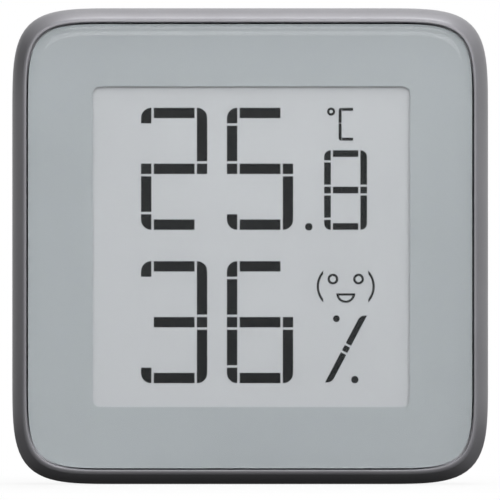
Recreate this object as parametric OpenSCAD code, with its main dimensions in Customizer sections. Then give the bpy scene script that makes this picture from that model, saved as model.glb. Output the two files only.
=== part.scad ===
// Square room sensor for temperature and humidity, with an e-paper display.
// Modelled face up: X across the screen, Y up the screen, Z out of the screen, with the
// origin in the middle of the body. stand_up() then sets it on its lower side, so that
// the screen faces -Y and the base lies at Z = 0.

/* [Housing] */
// Width and height of the housing
body_w = 62; // [61:0.5:68]
// Depth from the lens face to the rear face
body_d = 18; // [17.5:0.25:21]
// Length of each side that a corner curve takes up
corner_reach = 16; // [12:0.5:18]
// Squareness of the corner curve
corner_power = 4.75; // [4:0.25:6]
// Side wall of both housing halves, which is also the width of the rim
wall = 1.85; // [1.7:0.05:2]
// Depth of the front frame from the rim to the parting line
frame_d = 11.8; // [11.4:0.1:12.2]
// Width by which the sides draw in towards the rim
draft_w = 1.3; // [1:0.05:1.35]
// Depth along which the sides draw in
draft_d = 6; // [4:0.25:7]
// Radius of the rim's front edge
rim_r = 0.5; // [0.3:0.05:0.55]
// Radius of the rounded rear edge
rear_round = 3; // [2:0.25:3.5]
// Thickness of the rear wall
rear_t = 2.2; // [2.1:0.05:2.4]
// Width and depth of the shadow line at the parting line
reveal = 0.3; // [0.2:0.05:0.4]
// Thickness of the lip that locates the rear cover
lip_t = 1; // [0.8:0.1:1.2]
// Height of the lip above the parting line
lip_h = 2; // [1.8:0.1:2.2]
// Depth of the root that carries the lip
lip_root = 1.5; // [1:0.1:2]
// Radius of the snap beads on the lip
bead_r = 0.4; // [0.3:0.05:0.5]
// Length of each snap bead
bead_len = 14; // [8:1:20]

/* [Lens and display] */
// Thickness of the lens
lens_t = 1.5; // [1.2:0.1:1.8]
// How far the lens stands above the rim
lens_proud = 0.2; // [0:0.05:0.4]
// Width of the rounded lens edge
lens_round_w = 1.6; // [0.8:0.1:2]
// Depth of the rounded lens edge
lens_round_d = 0.9; // [0.4:0.1:1]
// Gap between the lens and the rim
lens_gap = 0.3; // [0.1:0.05:0.4]
// Thickness of the printed mask
mask_t = 0.15; // [0.1:0.05:0.25]
// Bare margin of the lens around the mask
mask_margin = 0.3; // [0.1:0.05:0.5]
// Border between the side of the housing and the display window
window_side = 10.5; // [10:0.25:13]
// Border between the top of the housing and the display window
window_top = 10.25; // [10:0.25:13]
// Corner radius of the display window
window_r = 1; // [0.5:0.1:3]
// Thickness of the adhesive under the lens
tape_t = 0.2; // [0.1:0.05:0.3]
// Thickness of the ledge that carries the lens
ledge_t = 1.2; // [1:0.1:1.4]
// Reach of the display film past the window on each side
film_margin = 1.5; // [1:0.1:1.7]
// Thickness of the display film
film_t = 0.35; // [0.2:0.05:0.5]
// Thickness of the foam ring in front of the display
gasket_t = 0.3; // [0.2:0.05:0.4]
// Margin between the window and the opening of the foam ring
gasket_margin = 0.5; // [0.2:0.1:0.8]
// Thickness of the glass backplane
glass_t = 0.7; // [0.5:0.05:0.8]
// Margin of the glass around the film
glass_margin = 0.3; // [0.1:0.05:0.5]
// Height of the bare contact ledge below the film
contact_ledge = 2.8; // [2.4:0.1:3]
// Thickness of the foam behind the display
foam_t = 0.8; // [0.5:0.1:1]
// Bare margin of the film around the foam behind it
foam_margin = 3; // [1:0.5:6]
// Width of the ribbon from the display
flex_w = 14; // [8:1:18]
// Thickness of the ribbon
flex_t = 0.14; // [0.1:0.02:0.2]
// Bend radius of the ribbon
flex_bend = 0.7; // [0.5:0.1:1]
// Thickness of the carrier plate and its ribs
carrier_t = 1.2; // [1:0.1:1.4]

/* [Board] */
// Thickness of the circuit board
board_t = 1.2; // [0.8:0.1:1.6]
// Distance from the board edge to the screw centres
screw_edge = 4.1; // [3.8:0.1:4.4]
// Radius of the screw bosses
boss_r = 2.3; // [2:0.1:2.5]
// Radius of the screw shank
screw_r = 0.8; // [0.7:0.05:1]
// Length of the screw below its head
screw_len = 6; // [4:0.5:6.5]
// Radius of the screw head
screw_head_r = 1.9; // [1.6:0.1:2.1]
// Height of the screw head
screw_head_h = 1.2; // [0.8:0.1:1.3]
// Side of the radio chip
chip_w = 5; // [4:0.5:6]
// Height of the radio chip
chip_h = 0.85; // [0.6:0.05:1]
// Length of the crystal can
crystal_w = 3.2; // [2:0.2:3.6]
// Height of the crystal can
crystal_h = 0.8; // [0.5:0.1:1]
// Side of the climate sensor
sensor_w = 2.5; // [2:0.1:3]
// Height of the climate sensor
sensor_h = 0.9; // [0.7:0.1:1.1]
// Length of the small chip parts
part_len = 1.6; // [1:0.1:2]
// Width and height of the small chip parts
part_w = 0.8; // [0.5:0.1:1]
// Width of the antenna trace
trace_w = 0.5; // [0.3:0.1:0.6]
// Thickness of the antenna trace
trace_t = 0.08; // [0.04:0.02:0.12]
// Gap between the folds of the antenna trace
trace_gap = 0.9; // [0.6:0.1:1.2]
// Number of folds in the antenna trace
trace_folds = 6; // [3:1:7]

/* [Battery] */
// Diameter of the coin cell
cell_d = 20; // [19:0.5:20.5]
// Height of the coin cell
cell_h = 3.2; // [2.5:0.1:3.4]
// Height of the battery axis above the middle of the body
door_y = 10; // [9:0.25:11]
// Thickness of the door plate
door_t = 1.8; // [1.6:0.1:2]
// Thickness of the door flange
flange_t = 0.9; // [0.7:0.05:1]
// Width of the door flange around the plug
flange_w = 1.5; // [1.2:0.1:1.8]
// Wall of the door cup around the cell
cup_wall = 1.1; // [0.9:0.1:1.3]
// Depth of the door below the rear face
door_recess = 0.3; // [0.1:0.05:0.4]
// Height of the bayonet lugs
lug_t = 1; // [0.8:0.1:1.1]
// Reach of the bayonet lugs
lug_reach = 1.3; // [1:0.1:1.4]
// Angle that each bayonet lug spans
lug_angle = 28; // [20:1:32]
// Turn from locked to open
door_turn = 40; // [36:1:45]
// Width of the coin slot
slot_w = 1.9; // [1.4:0.1:2.4]
// Depth of the coin slot
slot_d = 1.1; // [0.8:0.1:1.2]
// Radius of the coin that the slot is shaped for
coin_r = 12; // [9:0.5:14]
// Wall of the battery holder
holder_wall = 1.5; // [1.2:0.1:1.8]
// Floor of the battery holder
holder_floor = 0.9; // [0.7:0.1:1.1]
// Height that the negative contact springs up from the floor
contact_rise = 0.8; // [0.6:0.05:1]
// Thickness of the contact strip
strip_t = 0.25; // [0.15:0.05:0.3]
// Width of the contact strip
strip_w = 4; // [3:0.5:5]

/* [Stand] */
// Width of the stand leg
stand_w = 22; // [16:1:24]
// Thickness of the stand leg
stand_t = 2.1; // [2:0.05:2.3]
// Corner radius at the foot of the stand
stand_corner = 3; // [1:0.5:5]
// Largest angle that the stand opens to
stand_open = 50; // [35:1:55]
// Height of the heel above the hinge axis
heel_h = 1.9; // [1.7:0.1:2.1]
// Radius of the hinge pin
pin_r = 0.75; // [0.5:0.05:0.8]
// Wall of the barrel around the hinge pin
barrel_wall = 0.8; // [0.7:0.05:0.9]
// Length of each pin end held in the rear cover
pin_seat = 1; // [0.8:0.1:1.3]
// Depth of the closed leg below the rear face
stand_recess = 0.1; // [0:0.05:0.2]
// Wall of the stand pocket
pocket_wall = 1.1; // [0.9:0.1:1.2]
// Width of the bridge between the door seat and the stand pocket
bridge_w = 1.4; // [1.2:0.1:1.8]
// Length of the rubber pad at the foot
pad_len = 15; // [8:1:15]
// Thickness of the rubber pad
pad_t = 1; // [0.8:0.1:1.1]
// Depth of the rubber pad in the foot
pad_d = 1.2; // [0.8:0.1:1.5]
// How far the rubber pad stands out of the foot
pad_proud = 0.25; // [0.1:0.05:0.3]
// Radius of the nail notch in the lower rear edge
notch_r = 3.2; // [2.8:0.1:3.4]
// Length of the nail notch
notch_len = 9; // [6:1:14]

/* [Button, vents and magnets] */
// Distance from the side of the housing to the middle of the button
button_side = 12; // [11.5:0.25:12.5]
// Distance from the top of the housing to the middle of the button
button_top = 12.5; // [12:0.25:13]
// Radius of the button cap
button_r = 2.7; // [2:0.1:2.9]
// Depth of the button below the rear face
button_recess = 0.2; // [0:0.05:0.3]
// Reach of the flange that keeps the button in
button_flange = 0.9; // [0.6:0.1:1]
// Thickness of the button flange
button_flange_t = 0.8; // [0.6:0.1:1]
// Travel of the button
button_travel = 0.3; // [0.2:0.05:0.35]
// Side of the push switch
switch_w = 4.5; // [4:0.1:4.8]
// Height of the push switch body
switch_h = 2; // [1.8:0.1:2.2]
// Radius of the switch plunger
plunger_r = 1.1; // [0.8:0.1:1.2]
// Height of the plunger above the switch body
plunger_h = 0.6; // [0.5:0.05:0.8]
// Number of vent slots on each side
vent_count = 5; // [3:1:5]
// Length of each vent slot
vent_len = 10; // [6:0.5:10.5]
// Width of each vent slot
vent_w = 1.2; // [0.8:0.1:1.4]
// Distance from one vent slot to the next
vent_pitch = 2.8; // [2.4:0.1:2.9]
// Thickness of the vent membrane
membrane_t = 0.2; // [0.1:0.05:0.4]
// Margin of the vent membrane around the slots
membrane_margin = 1.2; // [0.8:0.1:1.4]
// Radius of each magnet
magnet_r = 4; // [3:0.25:4.5]
// Height of each magnet
magnet_h = 1.5; // [1:0.1:2]
// Distance from the side of the housing to the middle of each magnet
magnet_side = 10.5; // [10:0.25:11]
// Distance of the magnets from the middle, upwards
magnet_y = 1.5; // [0.5:0.25:2.5]
// Rear wall left behind each magnet
magnet_skin = 0.9; // [0.6:0.1:1.2]
// Wall of the magnet cups and of the button guide
cup_t = 1; // [0.8:0.1:1.2]

/* [Clearances] */
// Clearance between pieces that fit together without moving
fit_gap = 0.1; // [0.05:0.01:0.15]
// Radial clearance of the hinge pin
pin_gap = 0.05; // [0.03:0.01:0.08]
// Clearance around moving pieces
move_gap = 0.2; // [0.15:0.05:0.25]
// Air gap where a moving piece rests against its stop
rest_gap = 0.06; // [0.05:0.01:0.1]

/* [Hidden] */
$fn = 64;

// Overshoot of a cut past the face that it opens
over = 1;
// Points on each corner curve, and steps of each rounded edge and small arc
corner_steps = 14;
round_steps = 5;
arc_steps = 6;

// Levels from the lens to the ledge
half = body_w / 2;
lens_z1 = body_d / 2;
lens_z0 = lens_z1 - lens_t;
mask_z0 = lens_z0 - mask_t;
ledge_z1 = mask_z0 - tape_t;
ledge_z0 = ledge_z1 - ledge_t;
rim_z = lens_z1 - lens_proud;
split_z = rim_z - frame_d;

// Plan of the display, from the window out to the film
window_w = body_w - 2 * window_side;
window_h = body_w - 2 * window_top;
film_w = window_w + 2 * film_margin;
film_h = window_h + 2 * film_margin;

// Levels of the display, from its foam ring to the carrier
film_z1 = mask_z0 - gasket_t;
film_z0 = film_z1 - film_t;
glass_z0 = film_z0 - glass_t;
carrier_z1 = glass_z0 - foam_t;

// Levels from the rear face to the board
rear_z = -body_d / 2;
rear_in_z = rear_z + rear_t;
door_z0 = rear_z + door_recess;
seat_z = door_z0 + flange_t + rest_gap;
lug_z0 = rear_in_z + fit_gap;
lug_z1 = lug_z0 + lug_t;
pip_h = 0.35;
cell_z0 = door_z0 + door_t + pip_h + rest_gap;
cell_z1 = cell_z0 + cell_h;
floor_z = cell_z1 + contact_rise;
board_z0 = floor_z + holder_floor;
board_z1 = board_z0 + board_t;
holder_z = lug_z1 + 1.5 * move_gap;

// Insets of the outline, counted from the side of the housing
lens_inset = wall + lens_gap;
lip_out = wall + fit_gap;
lip_in = lip_out + lip_t;
board_inset = lip_in + 1.5 * move_gap;
carrier_inset = board_inset + 0.7;
screw_xy = half - board_inset - screw_edge;

// Display opening in the ledge, which also lets the ribbon pass
glass_w = film_w + 2 * glass_margin;
glass_top = film_h / 2 + glass_margin;
glass_bottom = -film_h / 2 - contact_ledge;
glass_gap = 0.4;
flex_y = glass_bottom - flex_bend - flex_t / 2;
opening_w = glass_w + 2 * glass_gap;
opening_top = glass_top + glass_gap;
opening_bottom = flex_y - glass_gap;
opening_r = 1.2;

// Ribbon and its socket, in which the ribbon lies at mid height
socket_h = 1.1;
socket_len = 3.4;
socket_reach = 8;
socket_y = glass_bottom + socket_reach;
socket_mid = board_z1 + socket_h / 2;
ribbon_end = socket_y - 0.8;

// Bayonet door
cup_r = cell_d / 2 + 1.5 * move_gap;
plug_r = cup_r + cup_wall;
hole_r = plug_r + move_gap;
door_r = plug_r + flange_w;
seat_r = door_r + move_gap;
lug_r = plug_r + lug_reach;
lug_start = 76;
lug_count = 3;
notch_slack = 2;
stop_slack = 3.5;
stop_angle = 5;

// Stand: heights are counted from the hinge axis, and out means towards the rear face
barrel_r = pin_r + pin_gap + barrel_wall;
stand_out = barrel_r + rest_gap;
stand_in = stand_t - stand_out;
stand_z = rear_z + stand_recess + stand_out;
heel_sweep = sqrt(heel_h * heel_h + stand_out * stand_out);
pocket_half = stand_w / 2 + 1.5 * move_gap;
pocket_top = door_y - seat_r - bridge_w;
stand_y = pocket_top - heel_sweep - move_gap;
pocket_bottom = -half + wall;
foot_y = pocket_bottom + 2 * move_gap + pad_proud;
pocket_z = stand_z + stand_in + 2 * move_gap;
bay_z = stand_z + heel_h * sin(stand_open) + stand_in * cos(stand_open) + rest_gap;
bay_bottom = stand_y - barrel_r - 2 * move_gap;

// Push button and its switch
button_x = half - button_side;
button_y = half - button_top;
switch_z = board_z0 - switch_h;
plunger_z = switch_z - plunger_h;
plunger_flange = 0.5;
button_z0 = rear_z + button_recess;
flange_z0 = rear_in_z + rest_gap;
button_z1 = plunger_z - rest_gap;

// Magnets beside the battery, and vents level with the stand
magnet_x = half - magnet_side;
vent_x = pocket_half + pin_seat + pocket_wall + membrane_margin + vent_len / 2;
vent_y = magnet_y - magnet_r - cup_t - fit_gap - 2 * membrane_margin - vent_w / 2;
vent_mid = vent_y - (vent_count - 1) * vent_pitch / 2;

frame_colour = "#77737A";
cover_colour = "#6E6B71";
lens_colour = [0.85, 0.9, 0.9, 0.35];
mask_colour = "#A6AFB1";
steel_colour = "#C3C6C8";
dark_colour = "#2B2D2F";

// Sets the face-up model on its lower side
module stand_up() {
    translate([0, 0, half]) rotate([90, 0, 0]) children();
}

// One point of a unit corner curve, at a share of its quarter turn. The shares bunch up at both
// ends, where the curve runs out slowly into the straight side.
function corner_point(share) =
    let (turn = 45 * (1 - cos(180 * share)),
        u = pow(cos(turn), 1 / (corner_power - 1)),
        v = pow(sin(turn), 1 / (corner_power - 1)),
        size = pow(pow(u, corner_power) + pow(v, corner_power), -1 / corner_power))
    [u * size, v * size];

// Turns a point by quarter turns
function quarter(p, turns) = turns == 0 ? p : quarter([-p[1], p[0]], turns - 1);

// Outline of the housing, drawn in by an inset
function outline(inset) =
    let (middle = half - corner_reach, reach = corner_reach - inset)
    [for (turns = [0:3], i = [0:corner_steps])
        quarter([middle, middle] + reach * corner_point(i / corner_steps), turns)];

// Rings of a quarter-round edge that rises from the side and runs in by w over a depth d
function rounded_rings(inset, z, w, d) =
    [for (i = [0:round_steps])
        let (turn = 90 * i / round_steps)
        [inset + w * (1 - cos(turn)), z - d * (1 - sin(turn))]];

// Rings of the front frame's side, which draws in ever faster, and of the rim's front edge
function rim_rings() =
    let (lean = atan(2 * draft_w / draft_d), side_z1 = rim_z - rim_r * (1 - sin(lean)))
    concat(
        [for (i = [0:round_steps])
            let (share = i / round_steps) [draft_w * share * share, side_z1 - draft_d * (1 - share)]],
        [for (i = [1:round_steps])
            let (turn = lean + (90 - lean) * i / round_steps)
            [draft_w + rim_r * (cos(lean) - cos(turn)), rim_z - rim_r * (1 - sin(turn))]]);

// Solid through a row of [inset, height] rings of the outline, from the lowest up
module loft(rings) {
    count = 4 * (corner_steps + 1);
    points = [for (ring = rings, p = outline(ring[0])) [p[0], p[1], ring[1]]];
    bottom = [for (i = [0:count - 1]) i];
    top = [for (i = [count - 1:-1:0]) i + count * (len(rings) - 1)];
    sides = [for (level = [0:len(rings) - 2], i = [0:count - 1], half_face = [0, 1])
        let (a = level * count + i, b = level * count + (i + 1) % count)
        half_face == 0 ? [a, a + count, b + count] : [a, b + count, b]];
    polyhedron(points, concat([bottom, top], sides));
}

// Slab of the housing outline between two levels
module slab(inset, z0, z1) {
    translate([0, 0, z0]) linear_extrude(z1 - z0) polygon(outline(inset));
}

// Wall that follows the housing outline
module outline_wall(outer, inner, z0, z1) {
    translate([0, 0, z0]) linear_extrude(z1 - z0) difference() {
        polygon(outline(outer));
        polygon(outline(inner));
    }
}

// Rectangle with rounded corners
module soft_rect(w, h, r) {
    arc = [for (i = [0:arc_steps]) [cos(90 * i / arc_steps), sin(90 * i / arc_steps)]];
    polygon([for (turns = [0:3], p = arc)
        let (sx = turns == 0 || turns == 3 ? 1 : -1, sy = turns < 2 ? 1 : -1)
        [sx * (w / 2 - r), sy * (h / 2 - r)] + r * quarter(p, turns)]);
}

// Rectangle of a given top and bottom, with rounded corners
module soft_band(w, bottom, top, r) {
    translate([0, (top + bottom) / 2]) soft_rect(w, top - bottom, r);
}

// Puts children at the four screws
module at_screws() {
    for (sx = [-1, 1], sy = [-1, 1]) translate([sx * screw_xy, sy * screw_xy, 0]) children();
}

// Puts children on the left and on the right
module both_sides(x, y) {
    for (side = [-1, 1]) translate([side * x, y, 0]) children();
}

// Bars along the four sides at an inset, for the snap beads and their grooves
module side_bars(inset, z, r, length) {
    for (turn = [0:90:270])
        rotate([0, 0, turn]) translate([half - inset, 0, z]) rotate([90, 0, 0])
            cylinder(r = r, h = length, center = true);
}

// Extrudes a profile drawn in Y and Z evenly to both sides of X = 0
module across(w) {
    rotate([90, 0, 90]) linear_extrude(w, center = true) children();
}

function unit(v) = v / norm(v);
function left_of(v) = [-v[1], v[0]];

// One side of a bent strip: each point is moved out along the mitre of its two stretches
function strip_side(path, d) =
    [for (i = [0:len(path) - 1])
        let (before = left_of(unit(path[max(i, 1)] - path[max(i, 1) - 1])),
            after = left_of(unit(path[min(i + 1, len(path) - 1)] - path[min(i, len(path) - 2)])))
        path[i] + d * (before + after) / (1 + before * after)];

// Outline of a bent strip of thickness t along a path
function strip(path, t) =
    let (far = strip_side(path, -t / 2))
    concat(strip_side(path, t / 2), [for (i = [len(far) - 1:-1:0]) far[i]]);

// Arc of a path
function bend(centre, r, from, to) =
    [for (i = [0:arc_steps])
        let (a = from + (to - from) * i / arc_steps) centre + r * [cos(a), sin(a)]];

module front_frame() {
    color(frame_colour) difference() {
        union() {
            difference() {
                loft(concat([[0, split_z]], rim_rings()));
                slab(wall, ledge_z1, rim_z + over);
                slab(wall, split_z - over, ledge_z0);
            }
            at_screws() translate([0, 0, board_z1]) cylinder(r = boss_r, h = ledge_z1 - ledge_t / 3 - board_z1);
        }
        translate([0, 0, ledge_z0 - fit_gap]) linear_extrude(ledge_t + over)
            soft_band(opening_w, opening_bottom, opening_top, opening_r);
        at_screws() translate([0, 0, board_z1 - over])
            cylinder(r = screw_r + pin_gap, h = screw_len - board_t + 2 * over);
        side_bars(lip_out, split_z + lip_h / 2, bead_r + fit_gap, bead_len + 2 * move_gap);
    }
}

module front_lens() {
    chamfer = 0.15;
    color(lens_colour) loft(concat(
        [[lens_inset + chamfer, lens_z0], [lens_inset, lens_z0 + chamfer]],
        rounded_rings(lens_inset, lens_z1, lens_round_w, lens_round_d)));
}

module mask_film() {
    color(mask_colour) translate([0, 0, mask_z0]) linear_extrude(mask_t) difference() {
        polygon(outline(lens_inset + mask_margin));
        soft_rect(window_w, window_h, window_r);
    }
}

// The tape reaches to the wall, so that the gap around the lens looks dark
module lens_tape() {
    tape_margin = 0.4;
    color(dark_colour) translate([0, 0, ledge_z1]) linear_extrude(tape_t) difference() {
        polygon(outline(wall + fit_gap));
        soft_band(opening_w + 2 * tape_margin, opening_bottom - tape_margin, opening_top + tape_margin, opening_r);
    }
}

module display_gasket() {
    color(dark_colour) translate([0, 0, film_z1]) linear_extrude(gasket_t) difference() {
        square([film_w - 2 * fit_gap, film_h - 2 * fit_gap], center = true);
        soft_rect(window_w + 2 * gasket_margin, window_h + 2 * gasket_margin, window_r);
    }
}

module epaper_film() {
    color("#BDC1C4") translate([0, 0, film_z0]) linear_extrude(film_t)
        square([film_w, film_h], center = true);
}

module backplane() {
    color("#9DB0B4") translate([0, 0, glass_z0]) linear_extrude(glass_t)
        translate([-glass_w / 2, glass_bottom]) square([glass_w, glass_top - glass_bottom]);
}

// Ribbon: bonded to the front of the contact ledge, round the lower edge of the glass, and back into
// its socket on the board
module display_flex() {
    start = -film_h / 2 - 0.3;
    front_z = film_z0 + flex_t / 2;
    turn_y = flex_y + flex_bend;
    path = concat(
        [[start, front_z]],
        bend([turn_y, front_z - flex_bend], flex_bend, 90, 180),
        bend([turn_y, socket_mid + flex_bend], flex_bend, 180, 270),
        [[ribbon_end + socket_len / 2, socket_mid]]);
    color("#B5732B") across(flex_w) polygon(strip(path, flex_t));
}

module flex_connector() {
    side = 1.2;
    color("#E6E2D6") difference() {
        translate([-flex_w / 2 - side, ribbon_end, board_z1]) cube([flex_w + 2 * side, socket_len, socket_h]);
        translate([-flex_w / 2 - fit_gap, ribbon_end - over, socket_mid - flex_t / 2 - fit_gap / 2])
            cube([flex_w + 2 * fit_gap, socket_len / 2 + fit_gap + over, flex_t + fit_gap]);
    }
}

module display_foam() {
    color(dark_colour) translate([0, 0, carrier_z1]) linear_extrude(foam_t)
        soft_rect(film_w - 2 * foam_margin, film_h - 2 * foam_margin, opening_r);
}

// Plate behind the display, with a skirt and ribs that stand on the board
module display_carrier() {
    rib_x = film_w / 4;
    rib_h = carrier_z1 - board_z1;
    color("#D9DAD6") difference() {
        union() {
            slab(carrier_inset, carrier_z1 - carrier_t, carrier_z1);
            outline_wall(carrier_inset, carrier_inset + carrier_t, board_z1, carrier_z1);
            both_sides(rib_x, 0) translate([-carrier_t / 2, socket_y + socket_len + carrier_t, board_z1])
                cube([carrier_t, half - carrier_inset - carrier_t / 2 - socket_y - socket_len - carrier_t, rib_h]);
            translate([-half + carrier_inset + carrier_t / 2, -carrier_t / 2, board_z1])
                cube([2 * (half - carrier_inset) - carrier_t, carrier_t, rib_h]);
        }
        at_screws() translate([0, 0, board_z1 - over]) cylinder(r = boss_r + 2 * move_gap, h = rib_h + 2 * over);
        translate([-flex_w / 2 - 2 * move_gap, -half, board_z1 - over])
            cube([flex_w + 4 * move_gap, flex_y + flex_t + 3 * move_gap + half, rib_h + 2 * over]);
    }
}

// Board with its screw holes, and slots that keep the warmth of the radio from the climate sensor
module circuit_board() {
    slot = 0.8;
    island = 2.2 * sensor_w;
    color("#2F6B4F") difference() {
        slab(board_inset, board_z0, board_z1);
        at_screws() translate([0, 0, board_z0 - over]) cylinder(r = screw_r + 1.5 * move_gap, h = board_t + 2 * over);
        translate([vent_x, vent_mid, board_z0 - over]) linear_extrude(board_t + 2 * over) {
            translate([-island / 2 - slot, -island / 2]) square([slot, island + slot]);
            translate([-island / 2 - slot, island / 2]) square([island + slot, slot]);
        }
    }
}

// Four pan-head screws with a cross recess
module board_screws() {
    recess = 0.45 * screw_head_r;
    dome = 0.4 * screw_head_h;
    color(steel_colour) at_screws() difference() {
        union() {
            translate([0, 0, board_z0 - over / 4]) cylinder(r = screw_r, h = screw_len + over / 4);
            translate([0, 0, board_z0]) mirror([0, 0, 1]) rotate_extrude()
                polygon([[0, 0], [screw_head_r, 0], [screw_head_r, screw_head_h - dome],
                    [screw_head_r - dome, screw_head_h], [0, screw_head_h]]);
        }
        for (turn = [0, 90]) rotate([0, 0, turn])
            translate([-recess, -recess / 4, board_z0 - screw_head_h - over])
                cube([2 * recess, recess / 2, screw_head_h / 2 + over]);
    }
}

// Radio chip with the dot that marks its first pad
module radio_chip() {
    dot = 0.3;
    color(dark_colour) difference() {
        translate([-vent_x - chip_w / 2, vent_y - chip_w / 2, board_z0 - chip_h]) cube([chip_w, chip_w, chip_h]);
        translate([-vent_x - chip_w / 2 + 3 * dot, vent_y + chip_w / 2 - 3 * dot, board_z0 - chip_h - over])
            cylinder(r = dot, h = over + dot / 3);
    }
}

// Metal can on a wider ceramic base
module crystal() {
    rim = 0.2;
    base = crystal_h / 3;
    color(steel_colour) translate([-vent_x, vent_y - chip_w / 2 - crystal_w, board_z0]) mirror([0, 0, 1]) {
        linear_extrude(base) square([crystal_w, 0.8 * crystal_w], center = true);
        translate([0, 0, base]) linear_extrude(crystal_h - base)
            soft_rect(crystal_w - 2 * rim, 0.8 * crystal_w - 2 * rim, 2 * rim);
    }
}

// Folded antenna along the upper edge of the board, left of the battery
module antenna_trace() {
    pitch = 2 * trace_w + trace_gap;
    run = 6 * trace_w;
    top = half - board_inset - trace_gap;
    left = -screw_xy + screw_head_r + trace_gap;
    color("#C98A4B") translate([left, top - run, board_z0 - trace_t]) linear_extrude(trace_t)
        for (i = [0:trace_folds]) {
            translate([i * pitch, 0]) square([trace_w, run]);
            if (i < trace_folds)
                translate([i * pitch, i % 2 == 0 ? run - trace_w : 0]) square([pitch + trace_w, trace_w]);
        }
}

// Small resistors and capacitors: two columns beside the radio chip and one row by the climate sensor
module chip_parts() {
    gap = 0.9;
    column_x = chip_w / 2 + gap + part_w / 2;
    color("#A58B62") {
        for (side = [-1, 1], i = [0:2])
            translate([-vent_x + side * column_x, vent_y + (i - 1) * (part_len + gap), board_z0 - part_w / 2])
                cube([part_w, part_len, part_w], center = true);
        for (i = [-1:1])
            translate([vent_x + i * (part_w + gap), vent_mid - sensor_w - gap, board_z0 - part_w / 2])
                cube([part_w, part_len, part_w], center = true);
    }
}

// Climate sensor with the port that lets the air in
module climate_sensor() {
    port_r = 0.5;
    color(dark_colour) difference() {
        translate([vent_x - sensor_w / 2, vent_mid - sensor_w / 2, board_z0 - sensor_h])
            cube([sensor_w, sensor_w, sensor_h]);
        translate([vent_x, vent_mid, board_z0 - sensor_h - over]) cylinder(r = port_r, h = over + sensor_h / 2);
    }
}

// Puts children on the axis of the button
module at_button() {
    translate([button_x, button_y, 0]) children();
}

module switch_body() {
    cover = 0.4;
    chamber_r = plunger_r + 3 * move_gap;
    color(steel_colour) at_button() difference() {
        translate([0, 0, switch_z]) linear_extrude(switch_h) soft_rect(switch_w, switch_w, 0.4);
        translate([0, 0, switch_z + cover])
            cylinder(r = chamber_r, h = plunger_flange + button_travel + 2 * move_gap);
        translate([0, 0, switch_z - over]) cylinder(r = plunger_r + fit_gap, h = cover + 2 * over);
    }
}

// Plunger with the flange that keeps it in the switch
module switch_plunger() {
    flange_top = switch_z + 0.4 + rest_gap;
    color("#B7462E") at_button() {
        translate([0, 0, plunger_z]) cylinder(r = plunger_r, h = flange_top - plunger_z + plunger_flange);
        translate([0, 0, flange_top]) cylinder(r = plunger_r + 2 * move_gap, h = plunger_flange);
    }
}

// Button cap with a dished face, retaining flange and stem
module unit_button() {
    edge = 0.3;
    stem_r = 1.5;
    dish_r = 9;
    dish_d = 0.25;
    color("#8A878D") at_button() difference() {
        union() {
            rotate_extrude() polygon([[0, button_z0], [button_r - edge, button_z0], [button_r, button_z0 + edge],
                [button_r, flange_z0 + button_flange_t], [0, flange_z0 + button_flange_t]]);
            translate([0, 0, flange_z0]) cylinder(r = button_r + button_flange, h = button_flange_t);
            translate([0, 0, flange_z0]) cylinder(r = stem_r, h = button_z1 - flange_z0);
        }
        translate([0, 0, button_z0 - dish_r + dish_d]) sphere(r = dish_r);
    }
}

// Puts children on the battery axis
module at_battery() {
    translate([0, door_y, 0]) children();
}

// Strip that runs along X through the wall of the holder, on the side of its outer foot
contact_x = cup_r + holder_wall + strip_t / 2 + fit_gap;

// Ring on the board, cut through at the two contacts
module battery_holder() {
    color("#3A3C3F") at_battery() difference() {
        translate([0, 0, holder_z]) cylinder(r = cup_r + holder_wall, h = board_z0 - holder_z);
        translate([0, 0, holder_z - over]) cylinder(r = cup_r, h = floor_z - holder_z + over);
        translate([-cup_r - holder_wall - over, -strip_w / 2 - move_gap, holder_z - over])
            cube([cup_r + over, strip_w + 2 * move_gap, floor_z - holder_z + over]);
        translate([-strip_w / 2 - move_gap, cup_r - 2 * move_gap, holder_z - over])
            cube([strip_w + 2 * move_gap, holder_wall + 2 * over, board_z0 - holder_z + 2 * over]);
    }
}

// Spring clip that stands on the board and bears on the side of the cell
module positive_contact() {
    foot = 2.5;
    side_y = cell_d / 2 + rest_gap + strip_t / 2;
    back_y = cup_r + strip_t;
    path = [[back_y + foot, board_z0 - strip_t / 2], [back_y, board_z0 - strip_t / 2],
        [back_y, floor_z], [side_y, (floor_z + holder_z) / 2], [back_y, holder_z + strip_t]];
    color("#D2B15A") at_battery() across(strip_w) polygon(strip(path, strip_t));
}

// Leaf that climbs over the floor of the holder and springs up to the cell
module negative_contact() {
    foot = 2;
    tip = cell_d / 6;
    path = [[-contact_x - foot, board_z0 - strip_t / 2], [-contact_x, board_z0 - strip_t / 2],
        [-contact_x, floor_z - strip_t / 2], [-cell_d / 3, floor_z - strip_t / 2],
        [0, cell_z1 + strip_t / 2 + rest_gap], [tip, floor_z - strip_t]];
    color("#D2B15A") at_battery() rotate([90, 0, 0]) linear_extrude(strip_w, center = true)
        polygon(strip(path, strip_t));
}

// Coin cell: can with rounded edge, seal, and a narrower cap towards the board
module coin_cell() {
    edge = 0.3;
    step = 1.3;
    cap_h = 0.3;
    r = cell_d / 2;
    color(steel_colour) at_battery() rotate_extrude() polygon(concat(
        [[0, cell_z0]],
        bend([r - edge, cell_z0 + edge], edge, 270, 360),
        bend([r - edge, cell_z1 - cap_h - edge], edge, 0, 90),
        [[r - step, cell_z1 - cap_h], [r - step - cap_h, cell_z1], [0, cell_z1]]));
}

// Ring segments of the bayonet, spread evenly round the door
module bayonet(r0, r1, z0, z1, start, angle) {
    for (i = [0:lug_count - 1])
        rotate([0, 0, start + 360 * i / lug_count]) rotate_extrude(angle = angle)
            translate([r0, z0]) square([r1 - r0, z1 - z0]);
}

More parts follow.
